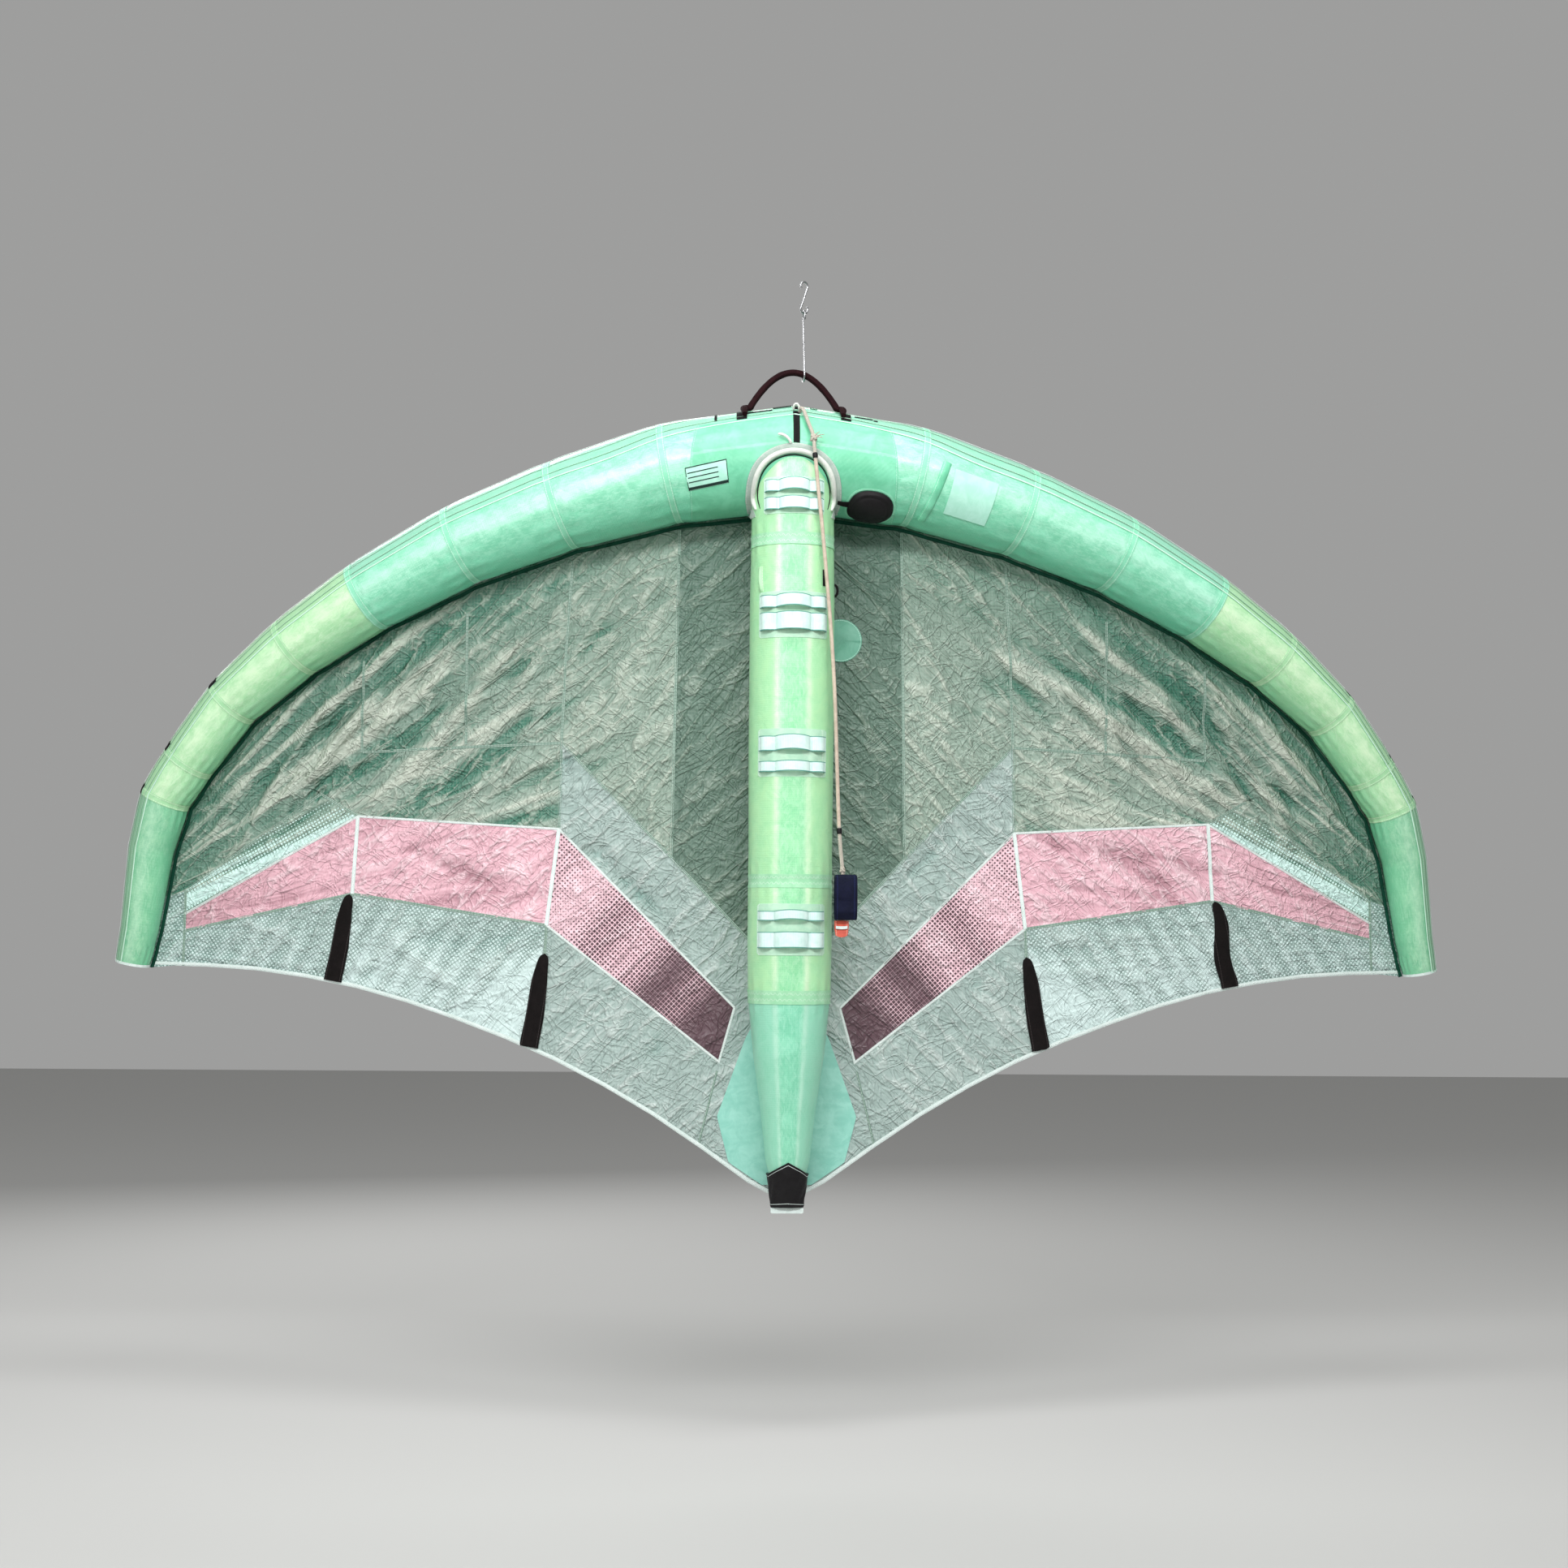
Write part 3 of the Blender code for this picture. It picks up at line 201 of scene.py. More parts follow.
def put(tree, kind, settings=None, values=None):
    node = tree.nodes.new("ShaderNode" + kind)
    for key, value in (settings or {}).items():
        setattr(node, key, value)
    for key, value in (values or {}).items():
        feed(tree, node.inputs[key], value)
    return node


def sums(tree, operation, *values):
    return put(tree, "Math", {"operation": operation}, dict(enumerate(values))).outputs[0]


def vectorSum(tree, operation, *values):
    return put(tree, "VectorMath", {"operation": operation}, dict(enumerate(values))).outputs[0]


def spread(tree, value, low, high, toLow=0.0, toHigh=1.0):
    values = {"Value": value, "From Min": low, "From Max": high, "To Min": toLow, "To Max": toHigh}
    return put(tree, "MapRange", {"interpolation_type": "SMOOTHSTEP"}, values).outputs["Result"]


def noise(tree, vector, scale, detail=2.0, roughness=0.5, distortion=0.0):
    values = {"Vector": vector, "Scale": scale, "Detail": detail, "Roughness": roughness,
              "Distortion": distortion}
    return put(tree, "TexNoise", values=values).outputs["Fac"]


def bands(tree, vector, direction, scale, distortion, detail=2.0, detailScale=1.0):
    values = {"Vector": vector, "Scale": scale, "Distortion": distortion, "Detail": detail,
              "Detail Scale": detailScale}
    return put(tree, "TexWave", {"bands_direction": direction}, values).outputs["Fac"]


def splitUp(tree, vector):
    return put(tree, "SeparateXYZ", values={0: vector}).outputs


def joinUp(tree, *parts):
    return put(tree, "CombineXYZ", values=dict(enumerate(parts))).outputs[0]


def turned(tree, vector, angle):
    values = {"Vector": vector, "Angle": angle}
    return put(tree, "VectorRotate", {"rotation_type": "Z_AXIS"}, values).outputs[0]


def marks(tree, word):
    return put(tree, "Attribute", {"attribute_name": word}).outputs["Fac"]


def coordinates(tree, kind):
    return put(tree, "TexCoord").outputs[kind]


def blendColour(tree, factor, a, b):
    node = put(tree, "Mix", {"data_type": "RGBA"})
    for key, value in ((0, factor), (6, a), (7, b)):
        feed(tree, node.inputs[key], (*value, 1.0) if isinstance(value, tuple) else value)
    return node.outputs[2]


# Tints laid one over another: a mask, how much of it, and the colour
def layTints(tree, colour, rows):
    for mask, much, tint in rows:
        colour = blendColour(tree, sums(tree, "MULTIPLY", mask, much), colour, tint)
    return colour


def newGroup(name, outputs, **inputs):
    tree = bpy.data.node_groups.new(name, "ShaderNodeTree")
    tree.interface.new_socket(name="Vector", in_out="INPUT", socket_type="NodeSocketVector")
    for label, value in inputs.items():
        socket = tree.interface.new_socket(name=label, in_out="INPUT", socket_type="NodeSocketFloat")
        socket.default_value = value
    for label in outputs:
        tree.interface.new_socket(name=label, in_out="OUTPUT", socket_type="NodeSocketFloat")
    return tree, tree.nodes.new("NodeGroupInput").outputs, tree.nodes.new("NodeGroupOutput").inputs


def useGroup(tree, group, vector, **values):
    return put(tree, "Group", {"node_tree": group}, {"Vector": vector, **values}).outputs


# How far a place lies from the middle of its square cell: 0 there, 0.5 at its edge
def cellReach(tree, vector, pitch):
    count = sums(tree, "DIVIDE", 1.0, pitch)
    scaled = put(tree, "VectorMath", {"operation": "SCALE"}, {0: vector, "Scale": count}).outputs[0]
    away = vectorSum(tree, "SUBTRACT", vectorSum(tree, "FRACTION", scaled), (0.5, 0.5, 0.5))
    parts = splitUp(tree, vectorSum(tree, "ABSOLUTE", away))
    return sums(tree, "MAXIMUM", parts[0], parts[1])


# Thread lines of ripstop cloth: a fine square grid with a faint over-and-under between
def makeRipstop():
    tree, given, out = newGroup("ripstopWeave", ("Lines", "Height"), Pitch=0.006)
    lines = spread(tree, cellReach(tree, given["Vector"], given["Pitch"]), 0.40, 0.48)
    fine = bands(tree, given["Vector"], "DIAGONAL", 320.0, 1.0)
    tree.links.new(lines, out["Lines"])
    tree.links.new(sums(tree, "MULTIPLY_ADD", fine, 0.25, lines), out["Height"])
    return tree


# Cloudy fibres that show through coated cloth
def makeMottle():
    tree, given, out = newGroup("fibreMottle", ("Cloud", "Fibre"), Scale=40.0)
    cloud = noise(tree, given["Vector"], given["Scale"], 5.0, 0.65, 0.6)
    stretched = vectorSum(tree, "MULTIPLY", given["Vector"], (1.0, 0.35, 1.0))
    fibre = noise(tree, stretched, sums(tree, "MULTIPLY", given["Scale"], 4.5), 6.0, 0.75, 1.4)
    tree.links.new(spread(tree, cloud, 0.35, 0.68), out["Cloud"])
    tree.links.new(spread(tree, fibre, 0.42, 0.66), out["Fibre"])
    return tree


# Square print dots on a turned grid; Size runs from no dots to solid
def makeDots():
    tree, given, out = newGroup("printDots", ("Mask",), Pitch=0.011, Turn=0.6, Size=0.5)
    reach = cellReach(tree, turned(tree, given["Vector"], given["Turn"]), given["Pitch"])
    edge = sums(tree, "MULTIPLY", given["Size"], 0.52)
    tree.links.new(spread(tree, sums(tree, "SUBTRACT", reach, edge), 0.05, -0.05), out["Mask"])
    return tree


# Crinkles of thin sailcloth: sharp ridges at four sizes, drawn out along the pull of the cloth
crinkles = ({"turn": 0.80, "narrow": 0.15, "scale": 1.0, "high": 0.90},
            {"turn": 0.62, "narrow": 0.22, "scale": 1.9, "high": 0.60},
            {"turn": 0.98, "narrow": 0.42, "scale": 3.8, "high": 0.40},
            {"turn": -0.50, "narrow": 0.50, "scale": 2.6, "high": 0.45})


def makeCrinkle():
    tree, given, out = newGroup("sailCrinkle", ("Height", "Ridge"), Scale=12.0)
    total = 0.0
    for row in crinkles:
        drawn = turned(tree, given["Vector"], row["turn"])
        drawn = vectorSum(tree, "MULTIPLY", drawn, (row["narrow"], 1.0, 1.0))
        cloud = noise(tree, drawn, sums(tree, "MULTIPLY", given["Scale"], row["scale"]), distortion=1.2)
        away = sums(tree, "ABSOLUTE", sums(tree, "SUBTRACT", cloud, 0.5))
        total = sums(tree, "MULTIPLY_ADD", spread(tree, away, 0.09, 0.0), row["high"], total)
    tree.links.new(total, out["Height"])
    tree.links.new(spread(tree, total, 0.75, 1.9), out["Ridge"])
    return tree


# Long folds of the stretched cloth, running together towards a point past each tip; 0.5 is level
longFolds = {"pointSpan": 1.62, "pointHeight": -1.42, "sway": 0.10, "otherSide": 5.3, "fadeIn": (0.22, 0.60)}


def makeFan():
    tree, given, out = newGroup("sailFan", ("Fold",), Across=20.0, Along=1.5)
    parts = splitUp(tree, given["Vector"])
    side, span = sums(tree, "LESS_THAN", parts[0], 0.0), sums(tree, "ABSOLUTE", parts[0])
    beyond = sums(tree, "SUBTRACT", longFolds["pointSpan"], span)
    down = sums(tree, "SUBTRACT", parts[1], longFolds["pointHeight"])
    sway = noise(tree, given["Vector"], 3.0)
    turn = sums(tree, "MULTIPLY_ADD", sway, longFolds["sway"], sums(tree, "ARCTAN2", down, beyond))
    reach = sums(tree, "SQRT", sums(tree, "MULTIPLY_ADD", down, down, sums(tree, "MULTIPLY", beyond, beyond)))
    place = joinUp(tree, *(sums(tree, "MULTIPLY", *pair) for pair in (
        (turn, given["Across"]), (reach, given["Along"]), (side, longFolds["otherSide"]))))
    lean = sums(tree, "SUBTRACT", noise(tree, place, 1.0, 2.5, 0.55), 0.5)
    lean = sums(tree, "MULTIPLY", lean, spread(tree, span, *longFolds["fadeIn"]))
    tree.links.new(sums(tree, "ADD", lean, 0.5), out["Fold"])
    return tree


# Rows of stitches along V, at Row across U; Swing makes them a zigzag
def makeStitches():
    tree, given, out = newGroup("stitchRow", ("Mask",), Row=0.002, Pitch=0.006, Swing=0.0, Thread=0.0007)
    parts = splitUp(tree, given["Vector"])
    step = sums(tree, "DIVIDE", parts[1], given["Pitch"])
    zigzag = sums(tree, "SUBTRACT", sums(tree, "PINGPONG", step, 1.0), 0.5)
    row = sums(tree, "MULTIPLY_ADD", zigzag, given["Swing"], given["Row"])
    away = sums(tree, "ABSOLUTE", sums(tree, "SUBTRACT", parts[0], row))
    line = spread(tree, away, given["Thread"], sums(tree, "MULTIPLY", given["Thread"], 0.4))
    gap = sums(tree, "ABSOLUTE", sums(tree, "SUBTRACT", sums(tree, "FRACT", step), 0.5))
    dash = spread(tree, gap, 0.44, 0.36)
    tree.links.new(sums(tree, "MULTIPLY", line, dash), out["Mask"])
    return tree


ripstop, mottle, dots, crinkle, fan, stitches = (make() for make in (
    makeRipstop, makeMottle, makeDots, makeCrinkle, makeFan, makeStitches))
print("cloth patterns ready")


def newMaterial(name, roughness, sheen=0.0, metallic=0.0, coat=0.0, shine=0.5):
    material = bpy.data.materials.new(name)
    material.use_nodes = True
    shader = material.node_tree.nodes["Principled BSDF"]
    for label, value in (("Roughness", roughness), ("Metallic", metallic), ("Sheen Weight", sheen),
                         ("Coat Weight", coat), ("Specular IOR Level", shine)):
        shader.inputs[label].default_value = value
    return material, material.node_tree, shader


def dress(tree, shader, colour, height, distance, strength, rough=None):
    tree.links.new(colour, shader.inputs["Base Color"])
    if rough:
        tree.links.new(rough, shader.inputs["Roughness"])
    bump = put(tree, "Bump", values={"Height": height, "Distance": distance, "Strength": strength})
    tree.links.new(bump.outputs[0], shader.inputs["Normal"])


# Front-view coordinates in metres, so that a pattern lies flat on the hanging cloth
def frontCoordinates(tree):
    parts = splitUp(tree, coordinates(tree, "Object"))
    return joinUp(tree, parts[0], parts[2], parts[1])


# The same, mirrored about the middle of the wing, so that a pattern fans out to both tips
def fanCoordinates(tree):
    otherSide = 3.7  # the left side takes its pattern from further up
    parts = splitUp(tree, frontCoordinates(tree))
    span = sums(tree, "SUBTRACT", parts[0], wingX)
    left = sums(tree, "LESS_THAN", span, 0.0)
    height = sums(tree, "MULTIPLY_ADD", left, otherSide, parts[1])
    return joinUp(tree, sums(tree, "ABSOLUTE", span), height, parts[2])


# Coated cloth of the blown-up tubes: fibres under a satin film, with a tinted edge where marked, painted shade
# on the underside and painted highlight bands where marked
def tubeCloth(name, look):
    material, tree, shader = newMaterial(name, look["roughness"], coat=0.60)
    shader.inputs["Coat Roughness"].default_value = 0.24
    spot = coordinates(tree, "UV")
    weave, cloud = useGroup(tree, ripstop, spot, Pitch=0.0045), useGroup(tree, mottle, spot, Scale=26.0)
    patchy = spread(tree, cloud["Cloud"], 0.0, 1.0, 0.65, 1.0)
    colour = layTints(tree, blendColour(tree, cloud["Cloud"], look["deep"], look["pale"]), (
        (cloud["Fibre"], 0.45, look["fibre"]), (weave["Lines"], 0.10, look["fibre"]),
        (marks(tree, "undersideShade"), patchy, look["under"]), (marks(tree, "edgeTint"), patchy, look["edge"]),
        (marks(tree, "highlightTint"), patchy, look["stripe"])))
    dress(tree, shader, colour, sums(tree, "MULTIPLY_ADD", cloud["Cloud"], 2.0, weave["Height"]), 0.0004, 0.6,
          spread(tree, cloud["Fibre"], 0.0, 1.0, look["roughness"] - 0.05, look["roughness"] + 0.08))
    return material


# Thin sailcloth; crest is painted highlight on the tops of the folds and painted shade in the troughs, near is
# painted shade beside the tube
def sailCloth(name, look):
    rough = 0.42
    material, tree, shader = newMaterial(name, rough)
    spot, mirrored = frontCoordinates(tree), fanCoordinates(tree)
    weave, cloud = useGroup(tree, ripstop, spot, Pitch=0.007), useGroup(tree, mottle, spot, Scale=18.0)
    creased = useGroup(tree, crinkle, mirrored, Scale=11.0)
    centred = vectorSum(tree, "SUBTRACT", spot, (wingX, 0.0, 0.0))
    fold = useGroup(tree, fan, centred, Across=26.0, Along=1.6)["Fold"]
    rise = sums(tree, "SUBTRACT", fold, 0.5)
    crest = sums(tree, "MULTIPLY_ADD", rise, look["foldMuch"], marks(tree, "crest"))
    colour = layTints(tree, blendColour(tree, spread(tree, crest, 0.12, 0.50), look["trough"], look["base"]), (
        (marks(tree, "nearTube"), look["nearMuch"], look["trough"]),
        (spread(tree, crest, 0.58, 1.0), 0.75, look["crest"]),
        (creased["Ridge"], look["crinkleTint"], look["crest"]),
        (cloud["Cloud"], 0.25, look["deep"]), (weave["Lines"], 0.14, look["crest"])))
    if "dotPitch" in look:
        mask = useGroup(tree, dots, mirrored, Pitch=look["dotPitch"], Turn=look["dotTurn"],
                        Size=marks(tree, "dotSize"))["Mask"]
        colour = layTints(tree, colour, ((mask, look["dotMuch"], look["dotColour"]),))
    height = sums(tree, "MULTIPLY_ADD", weave["Height"], 0.03, creased["Height"])
    dress(tree, shader, colour, sums(tree, "MULTIPLY_ADD", fold, 3.4, height), look["crinkleDeep"], 0.9,
          spread(tree, creased["Ridge"], 0.0, 1.0, rough + 0.06, rough - 0.10))
    return material


# Colours and strengths of each cloth, in the order of the words above them
def tableOf(words, rows):
    return {name: dict(zip(words.split(), row)) for name, row in rows.items()}


# trough and crest are the painted shade and painted highlight colours of the folds, crest also tinting the
# ripstop threads and painted on the crinkle ridges; nearMuch is how much painted shade lies beside the tube,
# foldMuch how much the long folds add to the painted light
sailWords = ("trough base crest deep crinkleTint crinkleDeep nearMuch foldMuch "
             "dotPitch dotTurn dotMuch dotColour")
sailLooks = tableOf(sailWords, {
    "canopyShade": ((0.028, 0.122, 0.085), (0.108, 0.178, 0.138), (0.360, 0.425, 0.355), (0.062, 0.124, 0.092),
                    0.40, 0.0040, 0.45, 0.9),
    "canopyGreen": ((0.040, 0.165, 0.112), (0.260, 0.345, 0.285), (0.580, 0.620, 0.530), (0.150, 0.240, 0.190),
                    0.46, 0.0042, 0.80, 2.4),
    "canopyPale": ((0.170, 0.310, 0.270), (0.330, 0.425, 0.395), (0.680, 0.730, 0.700), (0.225, 0.325, 0.300),
                   0.40, 0.0038, 0.40, 0.8),
    "tipMesh": ((0.040, 0.165, 0.112), (0.220, 0.325, 0.262), (0.580, 0.640, 0.550), (0.130, 0.230, 0.180),
                0.40, 0.0036, 0.70, 2.0, 0.0075, 0.50, 0.88, (0.660, 0.900, 0.850)),
    "trailMesh": ((0.150, 0.275, 0.245), (0.250, 0.350, 0.320), (0.620, 0.700, 0.670), (0.170, 0.265, 0.240),
                  0.34, 0.0034, 0.40, 0.9, 0.0070, 0.62, 0.90, (0.600, 0.740, 0.720)),
    "bandPink": ((0.440, 0.220, 0.265), (0.735, 0.425, 0.490), (0.920, 0.750, 0.785), (0.600, 0.320, 0.380),
                 0.42, 0.0036, 0.60, 1.5),
    "bandDotted": ((0.500, 0.280, 0.330), (0.800, 0.530, 0.590), (0.940, 0.760, 0.800), (0.680, 0.400, 0.460),
                   0.34, 0.0036, 0.0, 0.4, 0.0078, -0.743, 0.93, (0.050, 0.018, 0.028)),
})
# Tube colours: under is painted shade on the side towards the canopy, the colour after edge a painted highlight
# band
tubeLooks = tableOf("deep pale fibre under edge stripe roughness", {
    "tubeMint": ((0.160, 0.600, 0.365), (0.250, 0.730, 0.480), (0.500, 0.900, 0.710),
                 (0.120, 0.640, 0.385), (0.290, 0.640, 0.470), (0.660, 0.960, 0.820), 0.33),
    "tubeLime": ((0.330, 0.700, 0.350), (0.460, 0.800, 0.450), (0.720, 0.920, 0.680),
                 (0.185, 0.640, 0.330), (0.360, 0.640, 0.370), (0.860, 0.990, 0.740), 0.34),
    # A darker copy of the lime cloth: painted shade for the outward-facing tip pieces
    "tubeTipShaded": ((0.150, 0.490, 0.270), (0.235, 0.590, 0.340), (0.470, 0.760, 0.540),
                (0.110, 0.500, 0.270), (0.270, 0.520, 0.330), (0.540, 0.820, 0.600), 0.36),
    "strutLime": ((0.245, 0.690, 0.350), (0.345, 0.790, 0.430), (0.580, 0.900, 0.640),
                  (0.300, 0.740, 0.390), (0.430, 0.800, 0.430), (0.840, 0.970, 0.720), 0.38),
    "strutMint": ((0.185, 0.650, 0.410), (0.265, 0.760, 0.510), (0.500, 0.900, 0.720),
                  (0.225, 0.710, 0.460), (0.320, 0.750, 0.540), (0.620, 0.930, 0.760), 0.38),
})
paints = {name: sailCloth(name, look) for name, look in sailLooks.items()}
paints.update({name: tubeCloth(name, look) for name, look in tubeLooks.items()})


# Camera, light and floor
studio = {
    "camera": (-0.2066, -4.7908, -1.3738), "turn": 2.055, "tilt": 3.571, "roll": 0.466, "fieldOfView": 38.01,
    "floor": -2.45, "world": (0.95, 0.95, 0.94), "worldStrength": 0.36, "look": "Standard",
    "lights": [
        {"name": "longSoft", "at": (0.0, -3.7, 1.5), "aim": (0.0, 0.0, -0.95), "size": (5.2, 0.5),
         "power": 185.0},
        {"name": "frontSoft", "at": (-2.4, -3.6, 0.2), "aim": (0.0, 0.0, -1.0), "size": (1.6, 1.6),
         "power": 45.0},
        {"name": "topSoft", "at": (0.2, -1.2, 2.0), "aim": (0.0, 0.15, -0.9), "size": (2.6, 0.8),
         "power": 60.0},
        {"name": "backFill", "at": (-1.0, 3.6, 0.8), "aim": (0.0, 0.0, -1.0), "size": (3.0, 3.0),
         "power": 100.0},
    ],
}


def addCamera():
    lens = bpy.data.cameras.new("viewCamera")
    lens.sensor_fit = "HORIZONTAL"
    lens.angle = math.radians(studio["fieldOfView"])
    lens.clip_end = 60.0
    camera = bpy.data.objects.new("viewCamera", lens)
    bpy.context.scene.collection.objects.link(camera)
    turn, tilt, roll = (math.radians(studio[key]) for key in ("turn", "tilt", "roll"))
    facing = Vector((math.sin(turn) * math.cos(tilt), math.cos(turn) * math.cos(tilt), math.sin(tilt)))
    rotation = facing.to_track_quat("-Z", "Y").to_matrix().to_4x4()
    camera.matrix_world = Matrix.Translation(studio["camera"]) @ rotation @ Matrix.Rotation(roll, 4, "Z")
    bpy.context.scene.camera = camera


def addLights():
    for row in studio["lights"]:
        light = bpy.data.lights.new(row["name"], "AREA")
        light.shape = "RECTANGLE"
        light.size, light.size_y = row["size"]
        light.energy = row["power"]
        lamp = bpy.data.objects.new(row["name"], light)
        lamp.location = row["at"]
        lamp.rotation_euler = (Vector(row["aim"]) - Vector(row["at"])).to_track_quat("-Z", "Y").to_euler()
        bpy.context.scene.collection.objects.link(lamp)
    world = bpy.data.worlds.new("studioWorld")
    world.use_nodes = True
    world.node_tree.nodes["Background"].inputs[0].default_value = (*studio["world"], 1.0)
    world.node_tree.nodes["Background"].inputs[1].default_value = studio["worldStrength"]
    bpy.context.scene.world = world
    bpy.context.scene.view_settings.view_transform = studio["look"]


def addFloor():
    bpy.ops.mesh.primitive_plane_add(size=24.0, location=(0.0, 0.0, studio["floor"]))
    floor = bpy.context.object
    floor.name = "studioFloor"
    material, _, shader = newMaterial("floorPaint", 0.9)
    shader.inputs["Base Color"].default_value = (0.50, 0.50, 0.49, 1.0)
    floor.data.materials.append(material)


addCamera()
addLights()
addFloor()
print("studio set")


# Inflated leading edge: span, height and radius at each sewn joint, nose to tip
leadingEdge = {
    "joints": [
        (0.000, -0.380, 0.1100), (0.260, -0.412, 0.1070), (0.492, -0.477, 0.0966), (0.709, -0.557, 0.0880),
        (0.917, -0.664, 0.0790), (1.082, -0.771, 0.0700), (1.225, -0.889, 0.0620), (1.326, -1.019, 0.0575),
        (1.380, -1.100, 0.0555), (1.411, -1.214, 0.0490), (1.434, -1.391, 0.0410), (1.450, -1.470, 0.0370),
    ],
    "tipBack": 0.36, "halfSpan": 1.487, "power": 1.6,
    "waist": 0.985, "waistWide": 0.022, "swell": 1.006, "seamReach": 0.6,
    "pucker": {"high": 0.0013, "least": 0.35, "off": 0.03, "wide": 0.028, "waves": 17, "shift": 2.3},
    "edgeTurns": (-44.0, -28.0), "edgeDrops": (0.3, 1.6), "edgeSoft": 3.0, "backTurns": (212.0, 216.0),
    # Painted highlight band along the front of the tube
    "shine": {"much": 0.42, "turn": -4.0, "wide": 15.0},
    # Painted shade on the underside, towards the canopy
    "under": {"much": 0.75, "turns": (12.0, 70.0, 130.0, 180.0)},
    "seams": (1, 2, 3, 4, 5, 6, 7, 8), "lastMint": 4, "gap": 0.0008, "firstTurn": -100.0,
    "around": 84, "perSegment": 20, "crowded": 0.35,
}
bothSides = ((-1, "Left"), (1, "Right"))
bothFaces = ((False, "Front"), (True, "Back"))


def backAt(span):
    return leadingEdge["tipBack"] * (abs(span) / leadingEdge["halfSpan"]) ** leadingEdge["power"]


joints = [Vector((span, backAt(span), height)) for span, height, _ in leadingEdge["joints"]]
radii = [row[2] for row in leadingEdge["joints"]]
lastJoint = len(joints) - 1


def jointDirection(i):
    before = joints[i - 1] if i else Vector((-joints[1].x, joints[1].y, joints[1].z))
    if i == lastJoint:
        return (joints[i] - before).normalized()
    return ((joints[i + 1] - joints[i]).normalized() + (joints[i] - before).normalized()).normalized()


directions = [jointDirection(i) for i in range(lastJoint + 1)]


# A point on the tube: at counts joints from the nose, minus to the left; turn is 0 in front, 90 at the canopy
def onTube(at, turn, lift=0.0):
    side = -1.0 if at < 0 else 1.0
    at = min(abs(at), lastJoint)
    i = min(int(at), lastJoint - 1)
    t = at - i
    centre = joints[i].lerp(joints[i + 1], t)
    along = directions[i].lerp(directions[i + 1], t).normalized()
    front = Vector((0.0, -1.0, 0.0))
    front = (front - along * front.dot(along)).normalized()
    across = along.cross(front)
    length = (joints[i + 1] - joints[i]).length
    angle = math.radians(turn)
    ratio, pucker = leadingEdge["swell"], leadingEdge["pucker"]
    ripple = 0.0
    for seam in leadingEdge["seams"] + (lastJoint,):
        if abs(at - seam) < leadingEdge["seamReach"]:
            away = abs(at - seam) * length
            ratio -= (leadingEdge["swell"] - leadingEdge["waist"]) * bell(away, leadingEdge["waistWide"])
            inner = mix(pucker["least"], 1.0, 0.5 + 0.5 * math.sin(angle))
            gathered = pucker["high"] * bell(away - pucker["off"], pucker["wide"]) * inner
            ripple += gathered * math.sin(pucker["waves"] * angle + pucker["shift"] * seam)
    radius = mix(radii[i], radii[i + 1], t) * ratio + ripple + lift
    point = centre + (front * math.cos(angle) + across * math.sin(angle)) * radius
    return Vector((point.x * side + wingX, point.y, point.z))


def tubeLength(first, last):
    total, steps = 0.0, max(2, round(abs(last - first) * 4))
    places = [mix(first, last, k / steps) for k in range(steps + 1)]
    for a, b in zip(places, places[1:]):
        total += (onTube(b, 0.0) - onTube(a, 0.0)).length
    return total


# Where the long edge seam runs: near the top at the nose, further to the front from the first joint on
def edgeTurn(at):
    return mix(*leadingEdge["edgeTurns"], smoothStep(*leadingEdge["edgeDrops"], abs(at)))


tubePieces = []


def addTubePanel(name, first, last, paint, slotName):
    steps = leadingEdge["perSegment"] * round(abs(last - first))
    length = tubeLength(first, last)
    girth = math.tau * radii[int(min(abs(first), abs(last)))]
    inset = leadingEdge["gap"] / length * (last - first)
    crowded = leadingEdge["crowded"] if steps <= 24 else 0.0  # a short panel's rows crowd at its seams

    def turnAt(u):
        return 360.0 * u + leadingEdge["firstTurn"]

    def place(u, v):
        t = mix(v, 0.5 - 0.5 * math.cos(math.pi * v), crowded)
        return onTube(mix(first + inset, last - inset, t), turnAt(u))

    def outside(u, v):
        inner, turn = edgeTurn(mix(first, last, v)), turnAt(u)
        return (1.0 - smoothStep(inner - leadingEdge["edgeSoft"], inner, turn)
                + smoothStep(*leadingEdge["backTurns"], turn))

    # Painted shade on the underside, towards the canopy
    def under(u, v):
        row = leadingEdge["under"]
        start, full, fade, end = row["turns"]
        return row["much"] * (smoothStep(start, full, turnAt(u)) - smoothStep(fade, end, turnAt(u)))

    # Painted highlight band along the front of the tube
    def shine(u, v):
        row = leadingEdge["shine"]
        return row["much"] * bell(turnAt(u) - row["turn"], row["wide"])
    tints = {"edgeTint": outside, "highlightTint": shine, "undersideShade": under}
    tubePieces.append(wrapPiece(name + "Fine", leadingEdge["around"], steps, place, (girth, length), paint,
                                slotName, name, closed=True, capped=True, tints=tints))


addTubePanel("leading_edge_nose", -1, 1, "tubeMint", "tube_mint")
for number in range(1, 9):
    end = number + 1 if number < 8 else lastJoint
    # The tip pieces take the darker copy of the lime cloth, as painted shade
    paint = "tubeMint" if number < leadingEdge["lastMint"] else "tubeLime" if number < 8 else "tubeTipShaded"
    for side, word in bothSides:
        addTubePanel(f"leading_edge_{word.lower()}_{number}", side * number, side * end, paint,
                     "tube_mint" if paint == "tubeMint" else "tube_lime")
print("leading edge blown up")


